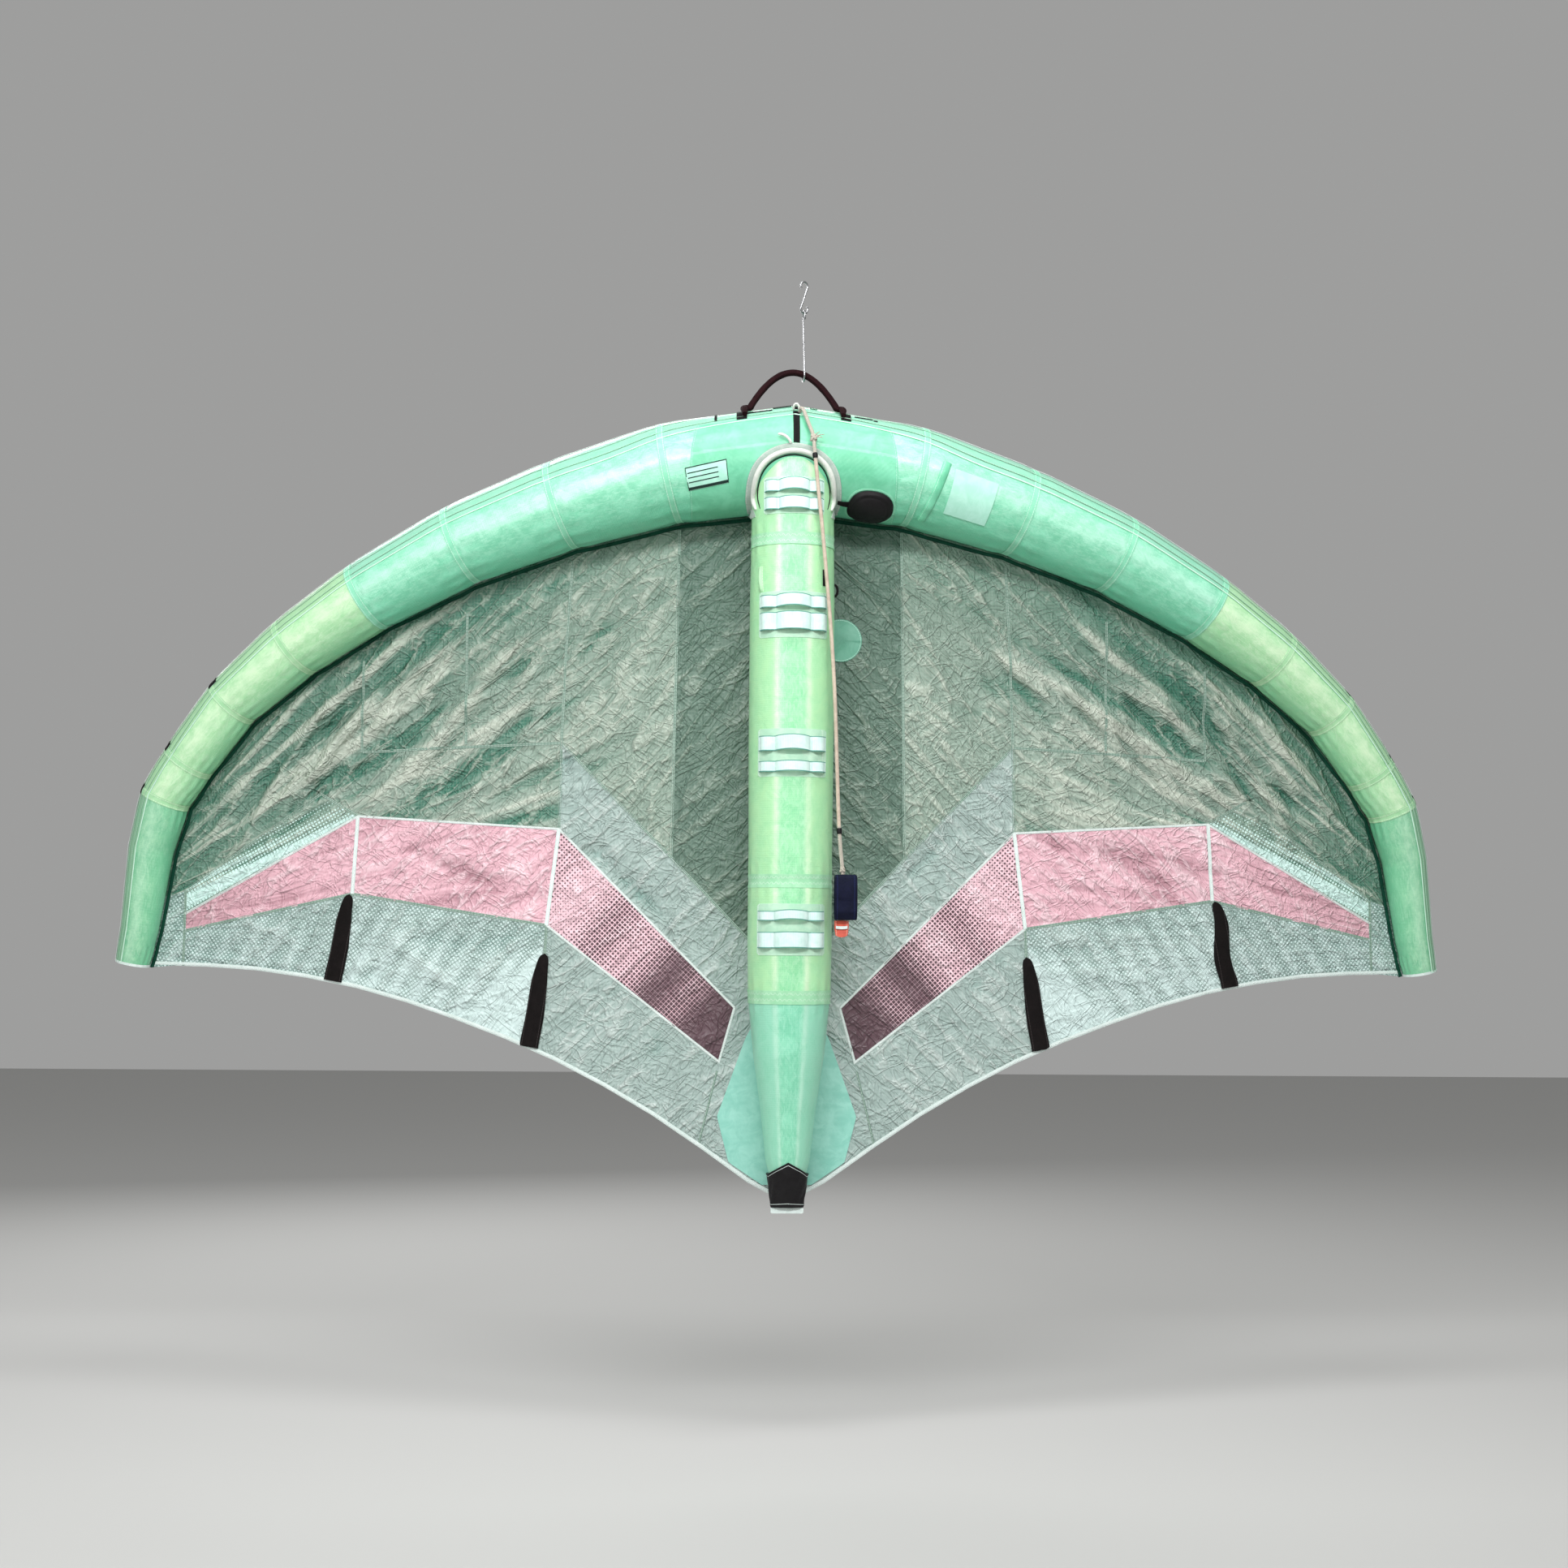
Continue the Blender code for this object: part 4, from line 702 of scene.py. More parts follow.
# Strut: height, depth of the axis and radius, from the tail up
strut = {
    "rows": [
        (-1.889, -0.021, 0.0385), (-1.862, -0.021, 0.0460), (-1.760, -0.028, 0.0570), (-1.640, -0.036, 0.0740),
        (-1.520, -0.040, 0.0860), (-1.400, -0.040, 0.0880), (-1.281, -0.040, 0.0870), (-1.000, -0.040, 0.0890),
        (-0.700, -0.040, 0.0890), (-0.571, -0.040, 0.0870), (-0.450, -0.035, 0.0875), (-0.385, -0.019, 0.0870),
    ],
    "seams": (-0.571, -1.281, -1.520), "waist": {"deep": 0.0011, "wide": 0.010},
    "pucker": {"high": 0.0009, "off": 0.02, "wide": 0.018, "waves": 19, "shift": 40},
    "meets": (-0.385, -0.55), "halvings": 24, "clear": 0.0008,
    "panels": {"strut_top": (-0.385, -0.571), "strut_upper": (-0.571, -1.281),
               "strut_lower": (-1.281, -1.520), "strut_tail": (-1.520, -1.888)},
    "around": 120, "step": 0.012, "gap": 0.0003, "typical": 0.088,
    # Two painted highlight bands down the strut, either side of its front
    "edgeTurns": (17.0, 30.0), "stripe": {"much": 0.6, "turn": 22.0, "wide": 4.4},
}
strutHeights, strutDepths, strutRadii = zip(*strut["rows"])


def onStrut(turn, height, lift=0.0):
    depth, radius = (float(np.interp(height, strutHeights, values)) for values in (strutDepths, strutRadii))
    angle, waist, pucker = math.radians(turn), strut["waist"], strut["pucker"]
    for seam in strut["seams"]:
        away = abs(height - seam)
        radius -= waist["deep"] * bell(away, waist["wide"])
        wave = math.sin(pucker["waves"] * angle + pucker["shift"] * seam)
        radius += pucker["high"] * bell(away - pucker["off"], pucker["wide"]) * wave
    reach = radius + lift
    return Vector((wingX + reach * math.sin(angle), depth - reach * math.cos(angle), height))


# Where the strut meets the nose tube, for one turn round the strut
def strutMeets(turn):
    above, below = strut["meets"]
    for _ in range(strut["halvings"]):
        middle = (above + below) / 2
        spot = onStrut(turn, middle)
        span = abs(spot.x - wingX)
        t = span / joints[1].x
        radius = mix(radii[0], radii[1], t) * leadingEdge["swell"] + strut["clear"]
        apart = math.hypot(spot.y - mix(0.0, joints[1].y, t), spot.z - mix(joints[0].z, joints[1].z, t))
        if apart < radius:
            above = middle
        else:
            below = middle
    return below


strutPieces = []
for name, (top, foot) in strut["panels"].items():
    def place(u, v):
        turn = 360.0 * u - 180.0
        start = strutMeets(turn) if name == "strut_top" else top - strut["gap"]
        return onStrut(turn, mix(start, foot + strut["gap"], v))

    def edge(u, v):
        return smoothStep(*strut["edgeTurns"], abs(360.0 * u - 180.0))

    # Painted highlight bands down the strut
    def stripe(u, v):
        row = strut["stripe"]
        return row["much"] * bell(abs(360.0 * u - 180.0) - row["turn"], row["wide"])
    strutPieces.append(wrapPiece(name + "Fine", strut["around"], round((top - foot) / strut["step"]), place,
                                 (math.tau * strut["typical"], top - foot),
                                 "strutMint" if name == "strut_tail" else "strutLime", "tube_lime", name,
                                 closed=True, capped=True, tints={"edgeTint": edge, "highlightTint": stripe}))
print("strut blown up")


# Canopy: the cut of each panel comes from its solid; the hang of the cloth from this table
canopy = {
    "lift": 0.0506, "liftTip": 0.034, "camber": 0.030, "camberSpans": (0.10, 0.45),
    "tailPull": 0.0236, "tailFalls": (1.52, 1.86), "tailWide": 0.36,
    "topMiddle": -0.47, "topDrop": 0.62, "lastSpan": 1.41, "leastChord": 0.1,
    "backClear": 0.0006, "backReach": 0.16, "backFade": (0.6, 1.0), "tubeClear": 0.0034,
    "thick": 0.0012, "rearSet": 0.001, "crestReach": 0.025, "narrow": 0.58, "sharp": 1.5,
    "foldEnds": (0.0, 0.25), "startStray": 0.04, "endStray": 0.05, "creaseMargin": 0.06, "creaseBow": 0.12,
    "strutStill": (0.10, 0.17), "battenStill": (0.030, 0.075), "battenLeast": 0.10,
    "shadeReach": (0.0, 0.34), "shadeSpans": (0.35, 0.75), "shadeLeast": 0.35,
    # Main folds: side, start, end, rise and half width
    "folds": [
        (-1, (0.74, -0.66), (1.16, -1.04), 0.011, 0.026), (-1, (0.70, -0.68), (1.14, -1.06), -0.008, 0.018),
        (-1, (0.67, -0.71), (1.15, -1.11), 0.010, 0.024), (-1, (0.62, -0.745), (1.26, -1.205), 0.010, 0.022),
        (-1, (0.70, -0.87), (1.08, -1.13), -0.009, 0.024), (-1, (0.49, -0.80), (1.02, -1.06), 0.008, 0.022),
        (-1, (0.52, -0.965), (0.87, -1.135), -0.004, 0.026), (-1, (0.41, -0.99), (0.70, -1.125), -0.006, 0.026),
        (-1, (1.00, -0.80), (1.29, -1.12), 0.009, 0.026), (-1, (0.58, -1.32), (0.88, -1.19), -0.007, 0.028),
        (-1, (0.24, -1.38), (0.44, -1.20), -0.006, 0.030), (-1, (0.66, -1.55), (0.90, -1.38), 0.006, 0.030),
        (-1, (1.06, -1.42), (1.28, -1.34), 0.005, 0.026), (1, (0.43, -0.73), (0.95, -1.11), 0.008, 0.024),
        (1, (0.58, -0.83), (1.04, -1.13), 0.011, 0.024), (1, (0.60, -0.79), (1.02, -1.05), -0.009, 0.022),
        (1, (0.62, -0.69), (0.88, -0.935), 0.010, 0.026), (1, (0.84, -0.91), (1.16, -1.21), 0.010, 0.024),
        (1, (0.80, -0.80), (1.24, -1.17), -0.008, 0.024), (1, (0.90, -0.81), (1.18, -1.08), 0.009, 0.024),
        (1, (0.51, -0.98), (0.82, -1.13), -0.004, 0.026), (1, (1.04, -0.90), (1.30, -1.17), 0.007, 0.024),
        (1, (0.66, -1.19), (0.90, -1.31), -0.007, 0.028), (1, (0.22, -1.30), (0.40, -1.14), -0.005, 0.030),
        (1, (0.60, -1.46), (0.84, -1.50), 0.006, 0.030),
    ],
    # Seeded folds that fan out between the main ones, from a line by the tube to a line below.
    "fans": [
        {"count": 24, "from": ((0.46, -0.68), (1.12, -0.90)), "to": ((0.84, -1.14), (1.33, -1.22)),
         "rise": (0.0032, 0.0078), "spread": (0.006, 0.013)},
        {"count": 10, "from": ((0.28, -0.62), (0.50, -0.80)), "to": ((0.52, -0.96), (0.88, -1.12)),
         "rise": (0.0024, 0.0054), "spread": (0.006, 0.012)},
        {"count": 8, "from": ((0.50, -1.18), (1.10, -1.16)), "to": ((0.62, -1.36), (1.30, -1.36)),
         "rise": (0.0020, 0.0040), "spread": (0.009, 0.016)},
        {"count": 8, "from": ((0.18, -1.42), (0.96, -1.36)), "to": ((0.30, -1.68), (1.20, -1.46)),
         "rise": (0.0015, 0.0035), "spread": (0.009, 0.016)},
    ],
    # Seeded creases: how many a side, their length, half width and height, and the way they run.
    "creases": [
        {"count": 70, "area": ((0.25, 1.30), (-1.20, -0.60)), "length": (0.08, 0.30), "wide": (0.007, 0.018),
         "high": (0.0010, 0.0034), "way": (-0.74, 0.22)},
        {"count": 46, "area": ((0.15, 1.30), (-1.66, -1.15)), "length": (0.06, 0.22), "wide": (0.007, 0.016),
         "high": (0.0008, 0.0024), "way": (-0.20, 0.55)},
        {"count": 46, "area": ((0.08, 0.50), (-1.60, -0.60)), "length": (0.05, 0.16), "wide": (0.006, 0.014),
         "high": (0.0006, 0.0018), "way": (0.35, 0.60)},
        {"count": 330, "area": ((0.02, 1.36), (-1.90, -0.50)), "length": (0.02, 0.08), "wide": (0.004, 0.011),
         "high": (0.0004, 0.0015), "way": (0.0, 1.6)},
    ],
}
battens = {
    "outer": {"top": (0.954, -1.312), "foot": (0.9865, -1.503), "width": 0.041},
    "inner": {"top": (0.519, -1.437), "foot": (0.550, -1.635), "width": 0.041},
    "thick": 0.0048, "off": 0.0018, "footGap": 0.003, "point": 0.07, "least": 0.03,
    "bend": 0.0015, "bent": 0.006,
    "shares": (0.0, 0.1, 0.3, 0.6, 1.0), "widths": (0.44, 0.60, 0.84, 0.95, 1.0),
}
# Trailing edge: span and height
edgeSpans, edgeHeights = zip(
    (0.000, -1.952), (0.080, -1.910), (0.180, -1.8405), (0.284, -1.773), (0.389, -1.714), (0.494, -1.662),
    (0.602, -1.6175), (0.710, -1.5785), (0.820, -1.543), (0.932, -1.514), (1.047, -1.493), (1.163, -1.4785),
    (1.281, -1.472), (1.413, -1.470))


farAway = 9.0  # metres, more than any distance on the wing


# numpy forms of the easing curves, for whole sheets at once
def easeAll(start, end, values):
    t = np.clip((values - start) / (end - start), 0.0, 1.0)
    return t * t * (3.0 - 2.0 * t)


def alongSegment(x, z, start, end):
    ax, az = start
    bx, bz = end
    size = (bx - ax) ** 2 + (bz - az) ** 2
    t = np.clip(((x - ax) * (bx - ax) + (z - az) * (bz - az)) / size, 0.0, 1.0)
    return np.hypot(x - ax - t * (bx - ax), z - az - t * (bz - az)), t


def makeCreases():
    rows = []
    pick = random.Random(21)
    for kind in canopy["creases"]:
        (spanLow, spanHigh), (low, high) = kind["area"]
        for side in (-1, 1):
            for _ in range(kind["count"]):
                turn = pick.gauss(*kind["way"])
                rows.append({"side": side, "x": pick.uniform(spanLow, spanHigh), "z": pick.uniform(low, high),
                             "dx": math.cos(turn), "dz": math.sin(turn),
                             "length": pick.uniform(*kind["length"]), "wide": pick.uniform(*kind["wide"]),
                             "lean": pick.uniform(0.5, 1.6),
                             "high": pick.uniform(*kind["high"]) * pick.choice((-1, 1, 1))})
    return rows


def makeFolds():
    rows = [(*fold[:4], fold[4] * canopy["narrow"]) for fold in canopy["folds"]]
    startStray, endStray = canopy["startStray"], canopy["endStray"]
    pick = random.Random(34)
    for group in canopy["fans"]:
        for side in (-1, 1):
            for k in range(group["count"]):
                t = (k + pick.uniform(0.1, 0.9)) / group["count"]
                start = [mix(a, b, t) + pick.uniform(-startStray, startStray) for a, b in zip(*group["from"])]
                end = [mix(a, b, t) + pick.uniform(-endStray, endStray) for a, b in zip(*group["to"])]
                wide = pick.uniform(*group["spread"])
                rows.append((side, start, end, pick.uniform(*group["rise"]) * pick.choice((-1, 1)), wide))
    return rows


creaseRows, foldRows = makeCreases(), makeFolds()


# How far the cloth stands proud of its smooth hang, towards the front
def reliefOf(x, z):
    span = np.abs(x)
    total = np.zeros_like(x)
    for side, start, end, rise, wide in foldRows:
        away, t = alongSegment(span, z, start, end)
        ends = easeAll(*canopy["foldEnds"], t) * easeAll(*canopy["foldEnds"], 1.0 - t)
        total += np.where(x * side > 0, rise * ends * np.exp(-((away / wide) ** canopy["sharp"])), 0.0)
    for row in creaseRows:
        dx, dz = span - row["x"], z - row["z"]
        near = (np.abs(dx) + np.abs(dz) < row["length"] + canopy["creaseMargin"]) & (x * row["side"] > 0)
        if not near.any():
            continue
        dx, dz = dx[near], dz[near]
        along = (dx * row["dx"] + dz * row["dz"]) / row["length"]
        across = dz * row["dx"] - dx * row["dz"] + canopy["creaseBow"] * row["length"] * along ** 2
        wide = np.where(across > 0, row["wide"], row["wide"] * row["lean"])
        fade = np.clip(1.0 - along ** 2, 0.0, 1.0) ** 1.5
        total[near] += row["high"] * fade * np.exp(-np.abs(across) / wide)
    still = easeAll(*canopy["strutStill"], span)
    for word in ("outer", "inner"):
        away, _ = alongSegment(span, z, battens[word]["top"], battens[word]["foot"])
        still *= mix(canopy["battenLeast"], 1.0, easeAll(*canopy["battenStill"], away))
    return total * still


# Depth of the hanging cloth, kept clear of the strut and behind the leading edge, and how proud its folds stand
def depthOf(x, z):
    span = np.abs(x)
    share = span / leadingEdge["halfSpan"]
    top = canopy["topMiddle"] - canopy["topDrop"] * share ** 2
    foot = np.interp(np.minimum(span, canopy["lastSpan"]), edgeSpans, edgeHeights)
    chord = np.maximum(canopy["leastChord"], top - foot)
    along = np.clip((top - z) / chord, 0.0, 1.0)
    depth = leadingEdge["tipBack"] * share ** leadingEdge["power"]
    depth = depth + mix(canopy["lift"], canopy["liftTip"], share)
    fade = np.maximum(0.0, 1.0 - share) ** 0.5
    depth += canopy["camber"] * np.sin(math.pi * along) * easeAll(*canopy["camberSpans"], span) * fade
    middle = np.exp(-((span / canopy["tailWide"]) ** 2))
    depth -= canopy["tailPull"] * easeAll(*canopy["tailFalls"], -z) * middle
    relief = reliefOf(x, z)
    depth -= relief
    back = np.interp(z, strutHeights, np.add(strutDepths, strutRadii)) + canopy["backClear"] + canopy["rearSet"]
    share = easeAll(*canopy["backFade"], span / canopy["backReach"])
    held = np.maximum(depth, back + (depth - back) * share)
    depth = np.where(span < canopy["backReach"], held, depth)
    best = np.full_like(x, farAway)
    axis, radius = np.zeros_like(x), np.zeros_like(x)
    for i in range(lastJoint):
        away, t = alongSegment(span, z, (joints[i].x, joints[i].z), (joints[i + 1].x, joints[i + 1].z))
        closer = away < best
        best = np.where(closer, away, best)
        axis = np.where(closer, mix(joints[i].y, joints[i + 1].y, t), axis)
        radius = np.where(closer, mix(radii[i], radii[i + 1], t), radius)
    clear = radius * leadingEdge["swell"] + canopy["tubeClear"]
    behind = axis + np.sqrt(np.maximum(clear ** 2 - best ** 2, 0.0)) + canopy["rearSet"]
    return np.where(best < clear, np.maximum(depth, behind), depth), relief


# Share of painted shade beside the leading edge, stronger towards the tips
def nearTube(x, z):
    span = np.abs(x)
    away = np.full_like(x, farAway)
    for i in range(lastJoint):
        step, t = alongSegment(span, z, (joints[i].x, joints[i].z), (joints[i + 1].x, joints[i + 1].z))
        away = np.minimum(away, step - mix(radii[i], radii[i + 1], t))
    outward = mix(canopy["shadeLeast"], 1.0, easeAll(*canopy["shadeSpans"], span))
    return (1.0 - easeAll(*canopy["shadeReach"], away)) * outward


# Print density of the dotted cloths, by place
def dotSizes(node, x, z):
    span = np.abs(x)
    if node.startswith("band_dotted"):
        _, t = alongSegment(span, z, (0.128, -1.604), (0.500, -1.262))
        printWaves = 0.15 * np.sin(math.tau * (t * 3.1 + 0.15)) * easeAll(0.12, 0.3, t)
        return np.clip(1.14 - 0.82 * t ** 0.8 + printWaves, 0.0, 1.2)
    if node.startswith("canopy_tip_mesh"):
        away, t = alongSegment(span, z, (0.939, -1.141), (1.336, -1.330))
        rows = 0.20 * np.sin(math.tau * away / 0.024)
        return np.clip(0.72 - 10.5 * away + 0.34 * t + rows, 0.0, 0.95)
    low = easeAll(0.02, 0.24, z - np.interp(span, edgeSpans, edgeHeights))
    wedge, _ = alongSegment(span, z, (0.530, -1.480), (0.640, -1.600))
    rows = 0.12 * np.sin(math.tau * (span + z * 0.55) / 0.055)
    if node.startswith("trailing_outer"):
        return np.clip(0.62 - 0.30 * low + rows, 0.15, 0.80)
    return np.clip(0.80 - 0.30 * low + rows + 0.45 * (1.0 - easeAll(0.0, 0.10, wedge)), 0.20, 0.97)


sheetPaint = {
    "canopy_centre": ("canopyShade", "canopy_green", 7), "canopy_chevron": ("canopyPale", "canopy_pale", 5),
    "trailing_centre": ("canopyPale", "canopy_pale", 6), "canopy_inner": ("canopyGreen", "canopy_green", 6),
    "canopy_outer": ("canopyGreen", "canopy_green", 5), "canopy_tip_mesh": ("tipMesh", "canopy_mesh", 5),
    "band_outer": ("bandPink", "band_pink", 5), "band_middle": ("bandPink", "band_pink", 5),
    "band_dotted": ("bandDotted", "band_dotted", 6), "trailing_outer": ("trailMesh", "canopy_pale", 5),
    "trailing_middle": ("trailMesh", "canopy_mesh", 6),
}


# Smallest rectangle that the flat cut fits in
def flatSize(x, z, area, shadow):
    best = None
    for degrees in range(0, 90, 3):
        turn = math.radians(degrees)
        u, v = x * math.cos(turn) + z * math.sin(turn), z * math.cos(turn) - x * math.sin(turn)
        wide, tall = np.ptp(u), np.ptp(v)
        if best is None or wide * tall < best[0]:
            best = (wide * tall, wide, tall)
    wide, tall = float(best[1]) * area / shadow, float(best[2])
    return wide, min(tall, area / (0.32 * wide))


def addSheet(node, paint, slotName, cuts):
    sheet = cad[node].copy()
    sheet.data = cad[node].data.copy()
    sheet.name = node + "Fine"
    sheet.data.name = sheet.name
    for key in list(sheet.keys()):
        if key.startswith("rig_"):
            del sheet[key]
    sheet.parent = None
    bpy.context.scene.collection.objects.link(sheet)
    select(sheet)
    setMode("EDIT")
    pickMesh()
    bpy.ops.mesh.remove_doubles(threshold=0.00005)
    bpy.ops.mesh.select_mode(type="FACE")
    setMode("OBJECT")
    for face in sheet.data.polygons:
        face.select = face.normal.y > -0.02
    setMode("EDIT")
    bpy.ops.mesh.delete(type="FACE")
    pickMesh()
    bpy.ops.mesh.tris_convert_to_quads(face_threshold=3.2, shape_threshold=3.2)
    bpy.ops.mesh.subdivide(number_cuts=cuts)
    setMode("OBJECT")
    count = len(sheet.data.vertices)
    spots = np.empty(count * 3)
    sheet.data.vertices.foreach_get("co", spots)
    spots = spots.reshape(-1, 3)
    x, z = spots[:, 0] - wingX, spots[:, 2]
    depth, relief = depthOf(x, z)
    spots[:, 1] = depth - canopy["rearSet"]
    sheet.data.vertices.foreach_set("co", spots.ravel())
    # Fold height, painted as highlight on the crests and shade in the troughs
    addMarks(sheet, "crest", np.clip(0.5 + relief / canopy["crestReach"], 0.0, 1.0))
    addMarks(sheet, "nearTube", nearTube(x, z))
    if "dotPitch" in sailLooks[paint]:
        addMarks(sheet, "dotSize", dotSizes(node, x, z))
    sheet.data.update()
    area = sum(face.area for face in sheet.data.polygons)
    flat = flatSize(x, z, area, sum(abs(face.normal.y) * face.area for face in sheet.data.polygons))
    addThickness(sheet, canopy["thick"], -1.0)
    finish(sheet, paint, slotName, node)
    return sheet


sheets = []
for base, (paint, slotName, cuts) in sheetPaint.items():
    for node in sorted(cad):
        if node == base or node in (base + "_left", base + "_right"):
            sheets.append(addSheet(node, paint, slotName, cuts))
sheetTree = treeOf(sheets)
print("canopy hung:", len(sheets), "sheets")


# Woven tape or coated patch with rows of stitches: distance across its width, pitch and swing, in metres
def trimCloth(name, deep, pale, thread, roughness, weaveTint, rows=(), weave=160.0, cloud=45.0, bump=0.0005,
              sheen=0.0, metallic=0.0, coat=0.0, shine=0.5, edge=None, shadowRimWide=0.0, width=0.0):
    material, tree, shader = newMaterial(name, roughness, sheen, metallic, coat, shine)
    spot = coordinates(tree, "UV")
    fibres = useGroup(tree, mottle, coordinates(tree, "Object"), Scale=cloud)
    ribs = bands(tree, spot, "Y", weave, 0.4, 1.0)
    colour = layTints(tree, blendColour(tree, fibres["Cloud"], deep, pale), ((ribs, weaveTint, thread),))
    height = sums(tree, "MULTIPLY", ribs, 0.5)
    for row, pitch, swing in rows:
        mask = useGroup(tree, stitches, spot, Row=row, Pitch=pitch, Swing=swing, Thread=0.0008)["Mask"]
        colour, height = blendColour(tree, mask, colour, thread), sums(tree, "ADD", height, mask)
    # A dark rim along both edges; the straps use it as painted shadow
    if edge:
        away = sums(tree, "ABSOLUTE", sums(tree, "SUBTRACT", splitUp(tree, spot)[0], width / 2))
        rim = spread(tree, away, width / 2 - shadowRimWide * 1.3, width / 2 - shadowRimWide)
        colour = blendColour(tree, rim, colour, edge)
    dress(tree, shader, colour, height, bump, 0.7,
          spread(tree, fibres["Fibre"], 0.0, 1.0, roughness - 0.06, roughness + 0.10))
    paints[name] = material


# Deep, pale and thread colours, roughness, how much the weave shows, and what else differs
trimLooks = {
    "tubeTape": ((0.210, 0.640, 0.410), (0.290, 0.730, 0.500), (0.600, 0.900, 0.740), 0.38, 0.05,
                 {"rows": ((0.0025, 0.006, 0.0), (0.0135, 0.006, 0.0))}),
    "limeTape": ((0.330, 0.650, 0.350), (0.430, 0.740, 0.430), (0.700, 0.900, 0.660), 0.40, 0.05,
                 {"rows": ((0.0025, 0.006, 0.0), (0.0135, 0.006, 0.0))}),
    "edgeSeam": ((0.420, 0.760, 0.560), (0.500, 0.820, 0.630), (0.760, 0.940, 0.820), 0.50, 0.10,
                 {"rows": ((0.0016, 0.005, 0.0),)}),
    "edgeLine": ((0.120, 0.330, 0.200), (0.180, 0.420, 0.270), (0.420, 0.680, 0.500), 0.50, 0.10,
                 {"rows": ((0.0010, 0.005, 0.0),)}),
    "nosePatch": ((0.130, 0.530, 0.310), (0.190, 0.630, 0.400), (0.380, 0.780, 0.580), 0.34, 0.05,
                  {"coat": 0.15, "rows": ((0.003, 0.006, 0.0), (0.437, 0.006, 0.0)), "cloud": 26.0}),
    "zigzagTape": ((0.310, 0.680, 0.400), (0.400, 0.760, 0.480), (0.740, 0.940, 0.780), 0.45, 0.06,
                   {"rows": ((0.0070, 0.005, 0.006), (0.0190, 0.005, 0.006))}),
    "canopySeam": ((0.120, 0.215, 0.165), (0.175, 0.275, 0.220), (0.420, 0.530, 0.460), 0.50, 0.06,
                   {"rows": ((0.0014, 0.007, 0.0), (0.0046, 0.007, 0.0))}),
    "paleSeam": ((0.520, 0.600, 0.570), (0.640, 0.720, 0.690), (0.860, 0.920, 0.900), 0.50, 0.14,
                 {"rows": ((0.0025, 0.005, 0.002),)}),
    "whiteTape": ((0.600, 0.720, 0.680), (0.700, 0.800, 0.770), (0.900, 0.960, 0.940), 0.48, 0.16,
                  {"rows": ((0.0040, 0.005, 0.003),)}),
    # Dark green binding beside the tube, painted darker as the shadow in the gap between tube and canopy
    "bindingAndShadow": ((0.004, 0.045, 0.026), (0.008, 0.075, 0.045), (0.012, 0.090, 0.060), 0.70, 0.20,
                    {"shine": 0.15, "rows": ((0.0040, 0.006, 0.0),)}),
    "tailPatch": ((0.215, 0.560, 0.455), (0.310, 0.660, 0.555), (0.560, 0.820, 0.730), 0.42, 0.06,
                  {"cloud": 30.0}),
    "roundCloth": ((0.120, 0.380, 0.265), (0.180, 0.460, 0.340), (0.480, 0.760, 0.640), 0.42, 0.06,
                   {"rows": ((0.0025, 0.005, 0.0),), "cloud": 30.0}),
    "webbingBack": ((0.420, 0.720, 0.520), (0.540, 0.800, 0.600), (0.800, 0.960, 0.840), 0.50, 0.14,
                    {"rows": ((0.0030, 0.005, 0.0), (0.1500, 0.005, 0.0))}),
    "blackTape": ((0.003, 0.003, 0.003), (0.006, 0.005, 0.006), (0.024, 0.022, 0.024), 0.80, 0.20,
                  {"shine": 0.15, "rows": ((0.0020, 0.005, 0.0), (0.0110, 0.005, 0.0)), "bump": 0.0008}),
    "battenCloth": ((0.003, 0.002, 0.002), (0.006, 0.004, 0.004), (0.050, 0.042, 0.042), 0.80, 0.10,
                    {"shine": 0.12, "rows": ((0.0045, 0.006, 0.0), (0.0365, 0.006, 0.0)), "weave": 200.0,
                     "bump": 0.0008}),
    "rubber": ((0.004, 0.003, 0.004), (0.007, 0.006, 0.007), (0.022, 0.020, 0.024), 0.55, 0.10,
               {"shine": 0.25, "weave": 220.0, "bump": 0.0004}),
    "collarGrey": ((0.300, 0.400, 0.350), (0.420, 0.510, 0.450), (0.600, 0.680, 0.620), 0.65, 0.40,
                   {"sheen": 0.20, "rows": ((0.0020, 0.006, 0.0),), "weave": 240.0, "bump": 0.0009}),
    "collarPipe": ((0.620, 0.660, 0.600), (0.740, 0.770, 0.710), (0.880, 0.900, 0.850), 0.60, 0.30,
                   {"sheen": 0.20, "weave": 200.0, "bump": 0.0007}),
    "handleCloth": ((0.007, 0.001, 0.002), (0.015, 0.003, 0.004), (0.036, 0.009, 0.012), 0.85, 0.45,
                    {"shine": 0.12, "rows": ((0.0270, 0.005, 0.0),), "weave": 260.0, "bump": 0.0012}),
    "cuffCloth": ((0.002, 0.003, 0.009), (0.005, 0.006, 0.021), (0.017, 0.026, 0.105), 0.75, 0.22,
                  {"shine": 0.15, "rows": ((0.0050, 0.005, 0.0), (0.0400, 0.005, 0.0)), "weave": 220.0,
                   "bump": 0.0009}),
    "tabCloth": ((0.520, 0.035, 0.014), (0.700, 0.070, 0.022), (0.860, 0.460, 0.360), 0.60, 0.22,
                 {"rows": ((0.0030, 0.004, 0.0), (0.0270, 0.004, 0.0))}),
    "labelPale": ((0.400, 0.780, 0.620), (0.490, 0.850, 0.710), (0.640, 0.900, 0.800), 0.42, 0.05, {}),
    "labelInk": ((0.008, 0.025, 0.020), (0.015, 0.040, 0.032), (0.030, 0.070, 0.058), 0.60, 0.05,
                 {"shine": 0.2}),
    "steelWire": ((0.330, 0.335, 0.345), (0.480, 0.485, 0.500), (0.600, 0.600, 0.620), 0.32, 0.05,
                  {"metallic": 1.0, "weave": 90.0, "bump": 0.0001}),
}
for name, (*look, more) in trimLooks.items():
    trimCloth(name, *look, **more)


